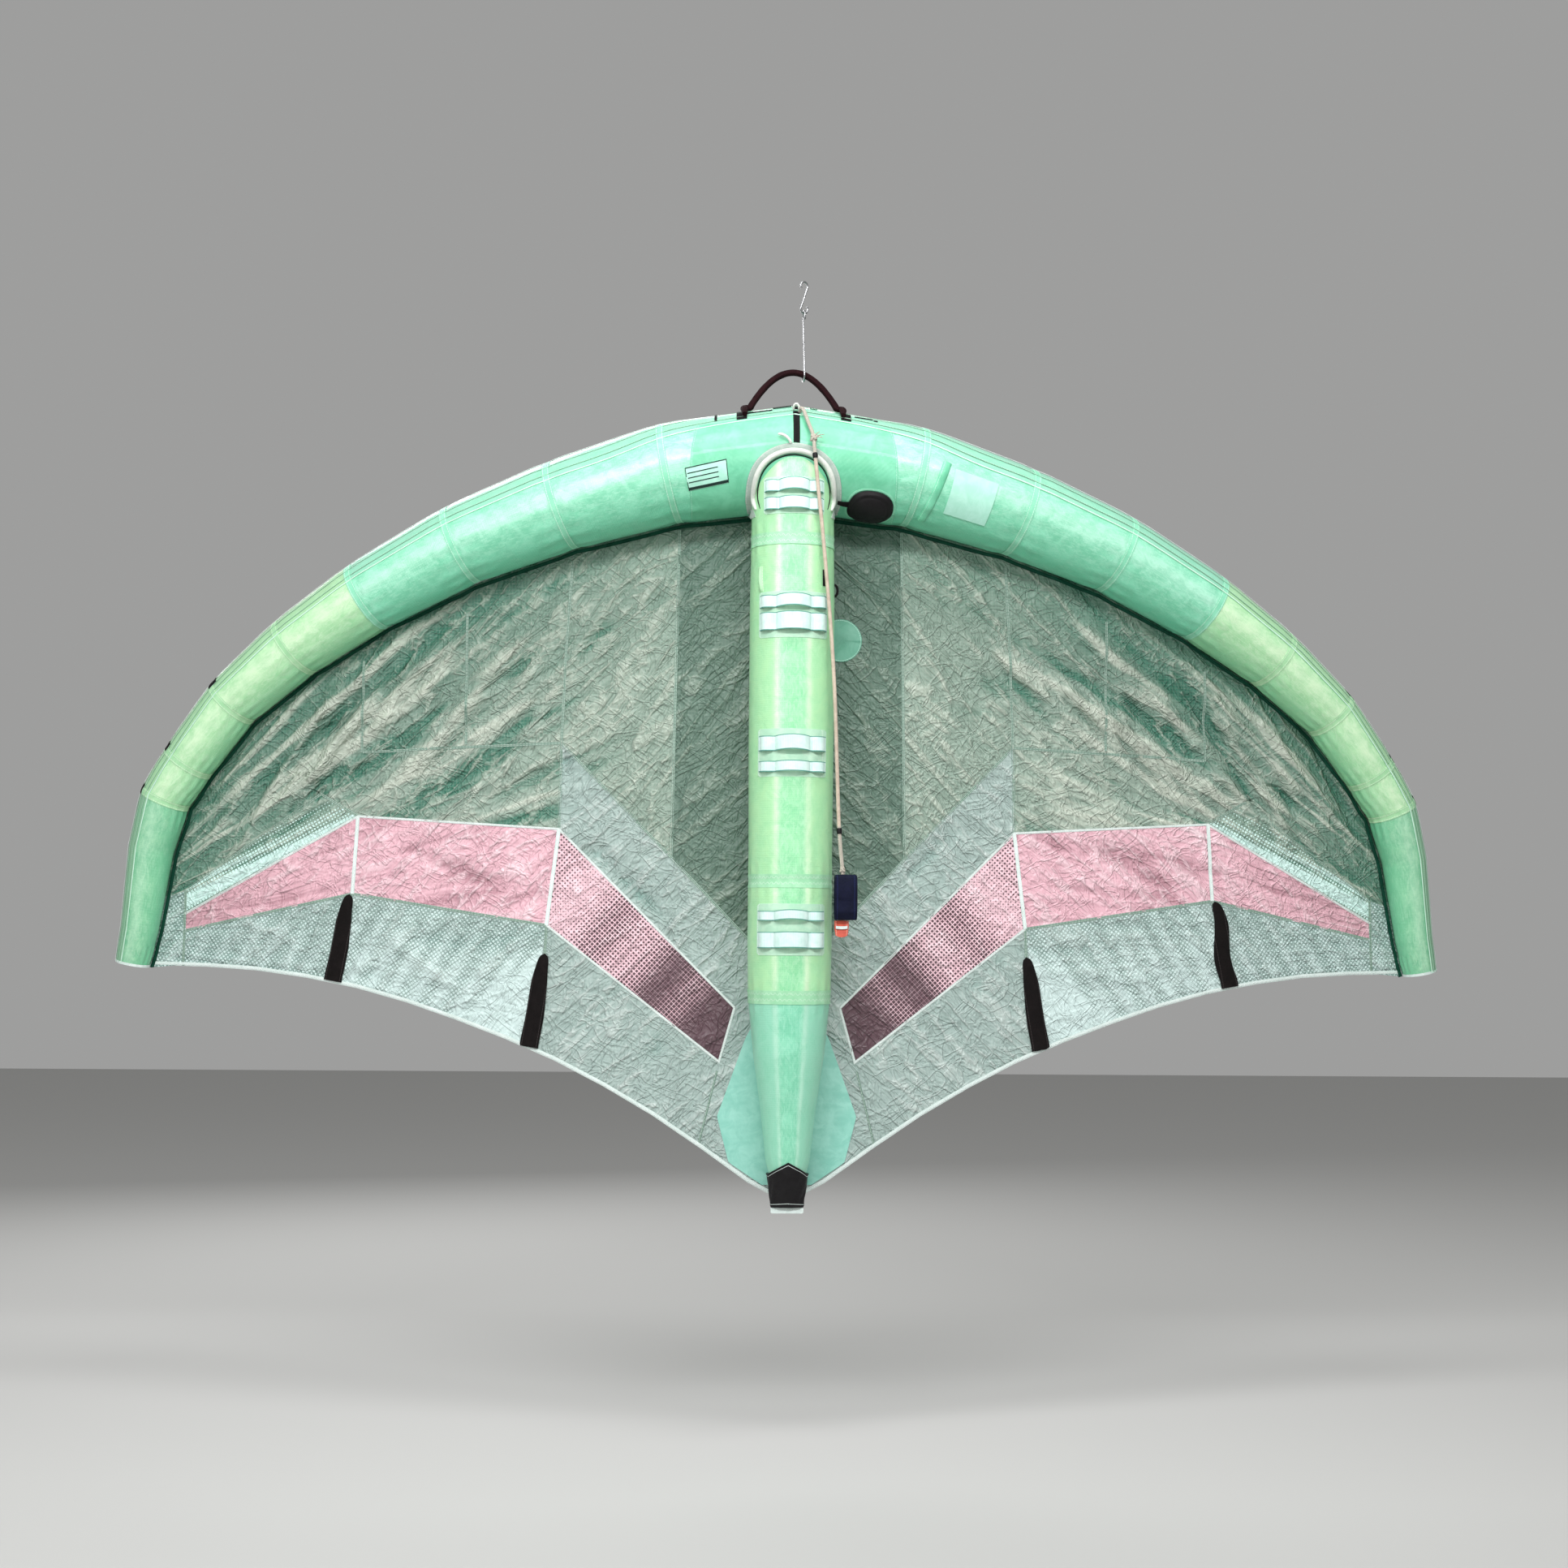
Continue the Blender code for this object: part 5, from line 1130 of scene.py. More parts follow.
# Strips over the canopy: mesh steps, thickness and the rays that find the cloth, with small steps aside for
# a ray that slips between two sheets
strips = {"across": 0.006, "along": 0.005, "thick": 0.0005, "rayStart": 0.8, "rayLength": 2.0, "outside": 0.03}
nudges = ((0.0, 0.0), (0.0012, 0.0), (-0.0012, 0.0), (0.0, 0.0012), (0.0, -0.0012), (0.002, 0.002))


# A strip that follows a route of (x, z) places over the front or the back of the canopy
def stripRows(route, width, step):
    rows, walked = [], 0.0
    normals = []
    spots = [Vector(p) for p in route]
    for i, spot in enumerate(spots):
        before = (spot - spots[i - 1]).normalized() if i else (spots[1] - spot).normalized()
        after = (spots[i + 1] - spot).normalized() if i < len(spots) - 1 else before
        along = (before + after).normalized()
        stretch = 1.0 / max(0.5, along.dot(after))
        normals.append(Vector((-along.y, along.x)) * stretch)
    for i in range(len(spots) - 1):
        length = (spots[i + 1] - spots[i]).length
        count = max(1, round(length / step))
        for k in range(count + (1 if i == len(spots) - 2 else 0)):
            t = k / count
            rows.append((spots[i].lerp(spots[i + 1], t), normals[i].lerp(normals[i + 1], t) * width / 2,
                         walked + length * t))
        walked += length
    return rows


def layStrips(name, routes, width, paint, slotName, lift, behind):
    verts, faces, uvs = [], [], []
    across = max(2, math.ceil(width / strips["across"]))
    for route in routes:
        start = len(verts)
        rows = stripRows(route, width, strips["along"])
        for spot, reach, walked in rows:
            for k in range(across + 1):
                place = spot + reach * (2.0 * k / across - 1.0)
                verts.append(surfaceHit(sheetTree, place.x + wingX, place.y, lift, behind))
                uvs.append((width * k / across, walked))
        faces += gridFaces(start, len(rows) - 1, across, behind)
    return meshPiece(name, verts, faces, uvs, paint, slotName)


def surfaceHit(tree, x, z, lift, behind=False):
    way = -1.0 if behind else 1.0
    for dx, dz in nudges:
        start = Vector((x + dx, -strips["rayStart"] * way, z + dz))
        hit = tree.ray_cast(start, Vector((0.0, way, 0.0)), strips["rayLength"])
        if hit[0] is not None:
            return Vector((x, hit[0].y - lift * way, z))
    near = tree.find_nearest(Vector((x, backAt(x - wingX) + strips["outside"], z)))[0]
    return Vector((near.x, near.y - lift * way, near.z))


def meshPiece(name, verts, faces, uvs, paint, slotName):
    mesh = bpy.data.meshes.new(name)
    mesh.from_pydata(verts, [], faces)
    layer = mesh.uv_layers.new(name="UVMap").data
    for loop in mesh.loops:
        layer[loop.index].uv = uvs[loop.vertex_index]
    item = bpy.data.objects.new(name, mesh)
    bpy.context.scene.collection.objects.link(item)
    addThickness(item, strips["thick"])
    return finish(item, paint, slotName)


# Canopy seams and edges, in metres from the middle of the wing
tubeEdgeRoute = [(p.x - wingX, p.z) for p in (onTube(0.35 + 0.15 * k, 90.0, 0.003) for k in range(72))]
canopyTapes = {
    "seamTapes": {"width": 0.006, "paint": "canopySeam", "slot": "canopy_pale", "routes": [
        [(0.239, -0.525), (0.245, -0.900), (0.250, -1.229)],
        [(0.470, -0.590), (0.483, -0.800), (0.490, -0.983), (0.493, -1.169)],
        [(0.490, -0.983), (0.250, -1.229), (0.020, -1.470)],
        [(0.492, -0.983), (0.930, -1.000)],
        [(0.700, -0.700), (0.700, -0.985)], [(0.930, -0.800), (0.932, -1.000)],
        [(0.517, -1.376), (0.519, -1.437)], [(0.948, -1.311), (0.954, -1.330)],
        [(0.517, -1.376), (0.948, -1.311), (1.333, -1.394)],
        [(0.939, -1.141), (1.026, -1.091), (1.339, -1.307)],
        [(1.336, -1.472), (1.336, -1.307)]]},
    "bandTapes": {"width": 0.005, "paint": "paleSeam", "slot": "webbing_pale", "routes": [
        [(0.112, -1.547), (0.493, -1.169), (0.939, -1.141), (1.336, -1.357)],
        [(0.112, -1.547), (0.144, -1.661), (0.517, -1.376)]]},
    "tailSeamTapes": {"width": 0.004, "paint": "canopySeam", "slot": "canopy_mesh", "routes": [
        [(0.148, -1.680), (0.185, -1.832)]]},
    "whiteTapes": {"width": 0.008, "paint": "whiteTape", "slot": "webbing_pale", "routes": [
        [(0.939, -1.141), (0.948, -1.311)], [(0.493, -1.169), (0.517, -1.376)]]},
    # Dark green binding tape along the tube's edge, also standing in as painted shadow in the gap between tube
    # and canopy
    "bindingShadowTapes": {"width": 0.008, "paint": "bindingAndShadow", "slot": "canopy_green", "routes": [tubeEdgeRoute]},
}
tapeLift, tapeStep = 0.0004, 0.0003  # each kind of tape lies a little higher than the one before
for number, (name, tape) in enumerate(canopyTapes.items()):
    routes = [[(side * x, z) for x, z in route] for route in tape["routes"] for side in (-1, 1)]
    for behind, word in bothFaces:
        layStrips(name + word, routes, tape["width"], tape["paint"], tape["slot"],
                  tapeLift + tapeStep * number, behind)


# Hem folded over the trailing edge
hem = {"wide": 0.0065, "inner": 0.0012, "over": 0.0016, "lift": 0.0006, "step": 0.006}


def addHem():
    verts, faces, uvs = [], [], []
    insets = (hem["wide"], hem["wide"] / 2, hem["inner"])
    for side in (-1, 1):
        start = len(verts)
        route = [(span * side, height) for span, height in zip(edgeSpans, edgeHeights)]
        rows = stripRows(route, 2.0, hem["step"])
        for spot, reach, walked in rows:
            inward = reach.normalized() * side
            for behind in (False, True):
                for inset in (insets[::-1] if behind else insets):
                    place = spot + inward * inset
                    verts.append(surfaceHit(sheetTree, place.x + wingX, place.y, hem["lift"], behind))
                if not behind:
                    edge = spot - inward * hem["over"]
                    middle = verts[-1].y + canopy["thick"] / 2 + hem["lift"]
                    verts.append(Vector((edge.x + wingX, middle, edge.y)))
            uvs += [(across * hem["wide"] / 3.0, walked) for across in range(7)]
        faces += gridFaces(start, len(rows) - 1, 6, side < 0)
    meshPiece("trailingHem", verts, faces, uvs, "whiteTape", "webbing_pale")


addHem()


# Mint reinforcement beside the strut's tail, and the round patch by the strut
tailPatch = {"inner": 0.020, "heights": (-1.916, -1.870, -1.775, -1.610, -1.560),
             "widths": (0.052, 0.122, 0.147, 0.088, 0.060), "rows": 60, "across": 14, "lift": 0.0009}
roundPatch = {"centre": (0.108, -0.762), "radius": 0.046, "lift": 0.0012, "rings": 8, "sides": 48}


def addTailPatches():
    rows, across, heights = tailPatch["rows"], tailPatch["across"], tailPatch["heights"]
    for behind, word in bothFaces:
        verts, faces, uvs = [], [], []
        for side in (-1, 1):
            faces += gridFaces(len(verts), rows, across, (side < 0) == behind)
            for i in range(rows + 1):
                z = mix(heights[-1], heights[0], i / rows)
                outer = float(np.interp(z, heights, tailPatch["widths"]))
                for k in range(across + 1):
                    x = side * mix(tailPatch["inner"], outer, k / across)
                    verts.append(surfaceHit(sheetTree, x + wingX, z, tailPatch["lift"], behind))
                    uvs.append((x, z))
        meshPiece("tailPatch" + word, verts, faces, uvs, "tailPatch", "tube_mint")


def addRoundPatch():
    verts, faces, uvs = [], [], []
    cx, cz = roundPatch["centre"]
    sides, rings = roundPatch["sides"], roundPatch["rings"]
    for ring in range(rings + 1):
        reach = roundPatch["radius"] * ring / rings
        for i in range(sides if ring else 1):
            turn = math.tau * i / sides
            x, z = cx + reach * math.cos(turn) + wingX, cz + reach * math.sin(turn)
            verts.append(surfaceHit(sheetTree, x, z, roundPatch["lift"]))
            uvs.append((roundPatch["radius"] - reach, turn * roundPatch["radius"]))
    for i in range(sides):
        j = (i + 1) % sides
        faces.append((1 + i, 1 + j, 0))
        for a in range(1, 1 + (rings - 1) * sides, sides):
            faces.append((a + i, a + sides + i, a + sides + j, a + j))
    meshPiece("roundPatch", verts, faces, uvs, "roundCloth", "tube_mint")


addTailPatches()
addRoundPatch()
print("canopy taped and hemmed")


# Leading edge trims
tubeTrims = {
    "ringWidth": 0.016, "ringLift": 0.0005, "tipLength": 0.07, "tipLift": 0.0008, "thick": 0.0005,
    "edgeStop": 0.02, "edgeLift": 0.0012, "edgeRound": 0.0005,
    "panelLift": 0.0016, "markLift": 0.0021, "markHalf": 0.0010, "frame": 0.016, "footEnd": 0.985,
    # Long seams: name, degrees from the edge seam, width and paint
    "edgeRows": [("edgeSeam", 0.0, 0.0032, "edgeSeam"), ("edgeLine", -9.0, 0.0018, "edgeLine"),
                 ("edgeLineOuter", -24.0, 0.0018, "edgeLine"), ("edgeHem", -47.0, 0.0040, "paleSeam")],
    "patchTurns": (-46.0, -10.0, 30.0, 86.0), "patchReach": (0.715, 0.780, 0.835, 0.900), "patchLift": 0.0007,
    "sleeve": {"at": (1.19, 1.11), "turns": (-16.0, 62.0), "width": 0.018, "thick": 0.0030},
    # Dark pieces: name, place in joints, turns in degrees, size across in metres
    "darkPieces": [
        ("noseStripTop", 0.015, (-74.0, -57.0), 0.0130), ("noseStrip", 0.015, (-50.5, -6.0), 0.0130),
        ("noseTopLeft", -0.085, (-79.0, -67.0), 0.0360), ("noseTopRight", 0.150, (-78.0, -68.0), 0.0140),
        ("handleFootLeft", -0.385, (-82.0, -47.5), 0.0200), ("handleFootRight", 0.385, (-82.0, -47.5), 0.0200),
        ("lineUnderLeft", -0.255, (-63.0, -60.0), 0.0500), ("lineUnderRight", 0.520, (-63.0, -60.5), 0.0360),
        ("tickLeft", -0.577, (-74.0, -50.5), 0.0050), ("tickRight", 0.608, (-60.0, -57.5), 0.0080),
        ("padLeft6", -5.97, (-130.0, -53.0), 0.0250), ("padRight6", 5.97, (-130.0, -66.0), 0.0250),
        ("padLeft7", -6.97, (-130.0, -56.0), 0.0220), ("padRight7", 6.97, (-130.0, -68.0), 0.0220),
        ("padLeft8", -7.97, (-130.0, -58.0), 0.0200), ("padRight8", 7.97, (-130.0, -72.0), 0.0200),
    ],
    # Plain panels: corners as joints and turns; marks are boxes of shares across and down
    "panels": [
        {"name": "ruledPanelLeft", "at": (-0.845, -0.520), "turns": (7.0, 33.0), "tilt": 4.0,
         "lines": (0.25, 0.45, 0.65), "line": (0.04, 0.78), "foot": 0.86},
        {"name": "plainPanelRight", "at": (1.27, 1.66), "turns": (-12.0, 42.0), "tilt": 0.0, "lines": ()},
    ],
}
segmentLengths = [(joints[i + 1] - joints[i]).length for i in range(lastJoint)]


def lengthAt(at):
    return segmentLengths[min(int(abs(at)), lastJoint - 1)]


def addTubeTrims():
    width = tubeTrims["ringWidth"]
    for seam in leadingEdge["seams"]:
        mint = seam <= leadingEdge["lastMint"]
        paint, slotName = ("tubeTape", "tube_mint") if mint else ("limeTape", "tube_lime")
        for side, word in bothSides:
            def place(u, v):
                at = seam + (v - 0.5) * width / segmentLengths[seam - 1 if v < 0.5 else seam]
                return onTube(side * at, 360.0 * u, tubeTrims["ringLift"])
            wrapPiece(f"ringTape{word}{seam}", 96, 8, place, (math.tau * radii[seam], width), paint, slotName,
                      closed=True, thick=tubeTrims["thick"], swapped=True)
    for name, away, width, paint in tubeTrims["edgeRows"]:
        for side, word in bothSides:
            def place(u, v):
                at = v * (lastJoint - tubeTrims["edgeStop"])
                turn = edgeTurn(at) + away + math.degrees((u - 0.5) * width / radii[int(at)])
                rise = tubeTrims["edgeRound"] * math.sin(math.pi * u)
                return onTube(side * at, turn, tubeTrims["edgeLift"] + rise)
            wrapPiece(name + word, 4, 240, place, (width, 2.2), paint, "tube_mint", thick=tubeTrims["thick"])
    for side, word in bothSides:
        wrapPiece("tipBinding" + word, 64, 4,
                  lambda u, v: onTube(side * (lastJoint - tubeTrims["tipLength"] * v), 360.0 * u,
                                      tubeTrims["tipLift"]),
                  (0.23, 0.006), "whiteTape", "webbing_pale", closed=True, thick=tubeTrims["thick"])


def addNosePatch():
    def place(u, v):
        turn = mix(tubeTrims["patchTurns"][0], tubeTrims["patchTurns"][-1], v)
        reach = float(np.interp(turn, tubeTrims["patchTurns"], tubeTrims["patchReach"]))
        return onTube(mix(-reach, reach, u), turn, tubeTrims["patchLift"])
    wrapPiece("nosePatch", 60, 40, place, (0.440, 0.250), "nosePatch", "tube_mint", thick=tubeTrims["thick"])


def addSleeve():
    sleeve = tubeTrims["sleeve"]

    def place(u, v):
        at = mix(*sleeve["at"], v)
        half = sleeve["width"] / lengthAt(at) / 2
        rise = 0.0006 + sleeve["thick"] * max(0.0, math.sin(math.pi * u)) ** 0.5
        return onTube(at + half * (2.0 * u - 1.0), mix(*sleeve["turns"], v), rise)
    wrapPiece("raisedSleeve", 10, 40, place, (sleeve["width"], 0.135), "nosePatch", "tube_mint", thick=0.0008)


def addPanel(panel):
    def place(u, v, lift, box=(0.0, 1.0, 0.0, 1.0)):
        across, down = mix(*box[:2], u), mix(*box[2:], v)
        return onTube(mix(*panel["at"], across), mix(*panel["turns"], down) - panel["tilt"] * across, lift)
    wide = abs(panel["at"][1] - panel["at"][0]) * lengthAt(panel["at"][0])
    tall = math.radians(panel["turns"][1] - panel["turns"][0]) * radii[1]
    wrapPiece(panel["name"], 24, 16, lambda u, v: place(u, v, tubeTrims["panelLift"]), (wide, tall),
              "labelPale", "webbing_pale", thick=0.0003)
    thin, frame = tubeTrims["markHalf"] / tall, tubeTrims["frame"]
    boxes = [(*panel["line"], row - thin, row + thin) for row in panel["lines"]]
    if "foot" in panel:
        boxes += [(0.0, 1.0, panel["foot"], tubeTrims["footEnd"]), (0.0, 1.0, 0.0, 2 * thin),
                  (0.0, frame, 0.0, 1.0), (1.0 - frame, 1.0, 0.0, 1.0)]
    for number, box in enumerate(boxes):
        wrapPiece(f"{panel['name']}Rule{number}", 20, 3, lambda u, v: place(u, v, tubeTrims["markLift"], box),
                  (wide, 0.002), "labelInk", "rubber_black", thick=0.0002)


def addDarkPiece(name, at, turns, width):
    half = width / lengthAt(at) / 2
    reach = math.radians(turns[1] - turns[0]) * radii[min(int(abs(at)), lastJoint)]
    wrapPiece(name, max(2, round(width / 0.003)), 24,
              lambda u, v: onTube(mix(at - half, at + half, u), mix(*turns, v), 0.0016),
              (width, reach), "blackTape", "rubber_black", thick=0.0008)


addTubeTrims()
addNosePatch()
addSleeve()
for panel in tubeTrims["panels"]:
    addPanel(panel)
for row in tubeTrims["darkPieces"]:
    addDarkPiece(*row)
print("leading edge trimmed")


# Strut trims; turns in degrees from the front
strutTrims = {
    "bands": [("strutBandTop", -0.571, 0.026), ("strutBandMiddle", -1.281, 0.028),
              ("strutBandLow", -1.520, 0.028)],
    "darkLabel": {"turn": 47.0, "wide": 0.012, "top": -0.634, "foot": -0.668},
    "fold": {"turn": -52.0, "wide": 9.0, "lean": 3.0, "top": -0.628, "foot": -0.682, "rise": 0.005},
}


def addStrutTrims():
    for name, height, width in strutTrims["bands"]:
        wrapPiece(name, 96, 8, lambda u, v: onStrut(360.0 * u, height + width / 2 * (1.0 - 2.0 * v), 0.0007),
                  (0.553, width), "zigzagTape", "tube_lime", closed=True, thick=0.0005, swapped=True)
    label, fold = strutTrims["darkLabel"], strutTrims["fold"]
    half = math.degrees(label["wide"] / 2 / strut["typical"])
    tall = label["top"] - label["foot"]

    def labelPlace(u, v):
        return onStrut(label["turn"] + mix(-half, half, u), mix(label["top"], label["foot"], v), 0.0012)
    wrapPiece("darkLabel", 10, round(tall / 0.008), labelPlace, (label["wide"], tall), "blackTape",
              "rubber_black", thick=0.0006)

    def place(u, v):
        rise = fold["rise"] * math.sin(math.pi * u) ** 2 * math.sin(math.pi * v) ** 0.6
        turn = fold["turn"] + fold["wide"] * (u - 0.5) + fold["lean"] * v
        return onStrut(turn, mix(fold["top"], fold["foot"], v), 0.0006 + rise)
    wrapPiece("sideFold", 12, 16, place, (0.014, 0.054), "limeTape", "tube_lime", thick=0.0008)


addStrutTrims()


# Collar: grey binding with a pale padded roll inside it and a dark cord under
collar = {"apex": -0.370, "side": -0.484, "foot": -0.520, "half": 0.101, "footHalf": 0.092,
          "band": 0.0120, "bandThick": 0.0030, "pointCount": 97, "inside": (
              ("collarRoll", 0.0165, 0.0058, 0.0035, "collarPipe"),
              ("collarCord", 0.0250, 0.0013, 0.0012, "rubber"))}
bodyTree = treeOf(tubePieces + strutPieces)


def collarPlace(v, inset):
    turn = mix(100.0, -100.0, v)
    rise = max(0.0, math.cos(math.radians(turn))) ** 0.8
    x, z = collar["half"] * math.sin(math.radians(turn)), mix(collar["side"], collar["apex"], rise)
    if abs(turn) > 90.0:
        t = (abs(turn) - 90.0) / 10.0
        x = math.copysign(mix(collar["half"], collar["footHalf"], t), turn)
        z = mix(collar["side"], collar["foot"], t)
    inward = Vector((-x, (collar["side"] + 0.01) - z)).normalized()
    if abs(turn) > 90.0:
        inward = Vector((-math.copysign(1.0, x), 0.0))
    return x + inward.x * inset, z + inward.y * inset


def addCollar():
    def place(u, v):
        x, z = collarPlace(v, collar["band"] * u)
        rise = collar["bandThick"] * math.sin(math.pi * mix(0.12, 0.88, u)) ** 0.5
        return surfaceHit(bodyTree, x + wingX, z, 0.0010 + rise)
    wrapPiece("collarBand", 8, 120, place, (collar["band"], 0.42), "collarGrey", "collar_grey", "strut_collar",
              thick=0.0012)
    count = collar["pointCount"]
    for name, inset, radius, lift, paint in collar["inside"]:
        spots = [collarPlace(mix(0.02, 0.98, k / (count - 1)), inset) for k in range(count)]
        points = [surfaceHit(bodyTree, x + wingX, z, lift) for x, z in spots]
        points[1:-1] = [(a + b * 2 + c) / 4 for a, b, c in zip(points, points[1:], points[2:])]
        roll = tubeAlong(name, points, lambda t: radius * min(1.0, 0.35 + 14.0 * min(t, 1.0 - t)), 12)
        finish(roll, paint, "collar_grey")


# Round section carried along points; radiusAt takes the share of the length walked.
def tubeAlong(name, points, radiusAt, sides, flat=1.0):
    lengths = [0.0]
    for a, b in zip(points, points[1:]):
        lengths.append(lengths[-1] + (b - a).length)
    frames, reference = [], None
    for i, point in enumerate(points):
        along = (points[min(i + 1, len(points) - 1)] - points[max(i - 1, 0)]).normalized()
        if reference is None:
            reference = along.cross(Vector((0.0, 1.0, 0.0))).normalized()
        reference = (reference - along * reference.dot(along)).normalized()
        frames.append((reference, along.cross(reference)))
    last = len(points) - 1

    def place(u, v):
        i = round(v * last)
        across, out = frames[i]
        radius = radiusAt(lengths[i] / lengths[-1])
        turn = math.tau * u
        return points[i] + across * (radius * math.cos(turn)) + out * (radius * flat * math.sin(turn))
    girth = math.tau * radiusAt(0.5)
    return wrapGrid(name, sides, last, place, (girth, lengths[-1]), closed=True, capped=True)


addCollar()


# Webbing loops: a backing plate and two arched straps each, straps a little apart from each other
webbing = {
    "pairs": [
        {"back": (-0.442, -0.520), "reach": 46.0, "upper": (-0.449, -0.474), "lower": (-0.486, -0.512)},
        {"back": (-0.683, -0.779), "reach": 52.0, "upper": (-0.691, -0.717), "lower": (-0.727, -0.764)},
        {"back": (-0.968, -1.067), "reach": 52.0, "upper": (-0.983, -1.014), "lower": (-1.035, -1.057)},
        {"back": (-1.328, -1.434), "reach": 52.0, "upper": (-1.343, -1.363), "lower": (-1.386, -1.419)},
    ],
    "base": 0.0010, "back": 0.0013, "strap": 0.0016, "end": 0.93, "bow": 0.0035, "corner": 0.006,
    "backRadius": 0.089, "strapRadius": 0.092,
    "pressed": {"strap": (2, "lower"), "deep": 0.0045, "wide": 0.05},  # one strap is pressed in at its middle
    "arches": [(-0.87, -0.52, 0.0075), (-0.42, 0.42, 0.0120), (0.52, 0.87, 0.0075)],
}


def archRise(share):
    for start, end, rise in webbing["arches"]:
        if start < share < end:
            t = (share - start) / (end - start)
            return rise * math.sin(math.pi * t) ** 0.55, math.sin(math.pi * t) if rise > 0.01 else 0.0
    return 0.0, 0.0


# Straps have a bright fill between dark edge lines of painted shadow
def addWebbing():
    edge, pressed = webbing["corner"], webbing["pressed"]
    for number, pair in enumerate(webbing["pairs"], 1):
        reach, (top, foot) = pair["reach"], pair["back"]
        wide = math.radians(2.0 * reach) * webbing["backRadius"]

        def plate(u, v):
            near = min(1.0, min(v, 1.0 - v) * (top - foot) / edge)
            inset = edge * (1.0 - math.sqrt(max(0.0, 1.0 - (1.0 - near) ** 2)))
            share = (2.0 * u - 1.0) * (1.0 - 2.0 * inset / wide)
            return onStrut(share * reach, mix(top, foot, v), webbing["base"])
        wrapPiece(f"loopBacking{number}", 40, 24, plate, (wide, top - foot), "webbingBack", "webbing_pale",
                  f"strut_loops_{number}", thick=webbing["back"])
        for part, bowed in (("upper", 1.0), ("lower", 0.4)):
            high, low = pair[part]

            def strapPlace(u, v):
                share = mix(-webbing["end"], webbing["end"], v)
                rise, bow = archRise(share)
                if (number, part) == pressed["strap"]:
                    rise -= pressed["deep"] * bell(share, pressed["wide"]) * (1.0 - u)
                height = mix(high, low, u) + webbing["bow"] * bow * bowed
                return onStrut(share * reach, height, webbing["base"] + webbing["back"] + rise)
            paint = f"strap{part.title()}{number}"
            trimCloth(paint, (0.560, 0.820, 0.750), (0.700, 0.900, 0.850), (0.880, 0.970, 0.940), 0.45, 0.30,
                      weave=140.0, bump=0.0008, edge=(0.100, 0.330, 0.270), shadowRimWide=0.0016, width=high - low)
            wrapPiece(f"loopStrap{part.title()}{number}", 6, 120, strapPlace,
                      (high - low, math.radians(2.0 * reach * webbing["end"]) * webbing["strapRadius"]),
                      paint, "webbing_pale", thick=webbing["strap"])


addWebbing()
print("strut fitted out")


# UV from the finished place of each corner
def layUv(item, uvAt):
    layer = item.data.uv_layers.active.data
    for loop in item.data.loops:
        layer[loop.index].uv = uvAt(item.data.vertices[loop.vertex_index].co)


# Battens in sewn sleeves: pointed at the top, full width from the middle down
def addBattens():
    for word in ("outer", "inner"):
        row = battens[word]
        top, half = Vector(row["top"]), row["width"] / 2
        foot = float(np.interp(row["foot"][0], edgeSpans, edgeHeights)) + battens["footGap"]
        foot = Vector((row["foot"][0], foot))
        length = (foot - top).length
        along = (foot - top).normalized()
        across = Vector((-along.y, along.x))
        for side, sideWord in bothSides:
            bend = battens["bent"] if (word, side) == ("outer", 1) else battens["bend"]

            def place(u, v):
                turn = math.tau * u
                shape = math.sqrt(1.0 - (1.0 - min(1.0, v / battens["point"])) ** 2)
                shape *= float(np.interp(v, battens["shares"], battens["widths"]))
                aside = half * max(battens["least"], shape) * math.sin(turn)
                aside += bend * math.sin(math.tau * min(1.0, v * 1.1))
                spot = top + along * (length * v) + across * aside
                dome = max(0.0, math.cos(turn)) ** 0.5 * min(1.0, 8.0 * v + 0.15)
                return surfaceHit(sheetTree, spot.x * side + wingX, spot.y,
                                  battens["off"] + battens["thick"] * dome)

            def uvAt(co):
                flat = Vector(((co.x - wingX) * side, co.z)) - top
                return flat.dot(across) + half, flat.dot(along)
            node = f"batten_{word}_{sideWord.lower()}"
            batten = wrapGrid(node + "Fine", 28, 44, place, (row["width"] * 2.1, length), closed=True,
                              capped=True)
            layUv(batten, uvAt)
            finish(batten, "battenCloth", "batten_black", node)


addBattens()


# A smooth curve through the points, cut into even steps
def smoothPath(points, spacing, pieces=12):
    knots = [Vector(p) for p in points]
    knots = [knots[0] * 2 - knots[1]] + knots + [knots[-1] * 2 - knots[-2]]
    fine = []
    for a, b, c, d in zip(knots, knots[1:], knots[2:], knots[3:]):
        for i in range(pieces):
            t = i / pieces
            fine.append(0.5 * (b * 2 + (c - a) * t + (a * 2 - b * 5 + c * 4 - d) * t * t
                               + (b * 3 - a - c * 3 + d) * t ** 3))
    fine.append(knots[-2])
    total = sum((q - p).length for p, q in zip(fine, fine[1:]))
    count = max(3, round(total / spacing))
    path, walked, target = [fine[0].copy()], 0.0, total / count
    for p, q in zip(fine, fine[1:]):
        step = (q - p).length
        while walked + step >= target * len(path) and len(path) < count:
            path.append(p.lerp(q, (target * len(path) - walked) / step))
        walked += step
    path.append(fine[-1].copy())
    return path, total


# Handle over the nose, its feet sewn to the tube
handle = {"half": 0.094, "shoulder": -0.2805, "top": -0.195, "radius": 0.0086, "footRadius": 0.0056,
          "footClear": 0.0021, "footTurns": (-52.0, -63.0, -74.0), "footShare": 0.11, "arch": 20,
          "crumple": 0.03, "flat": 0.82, "spacing": 0.004}


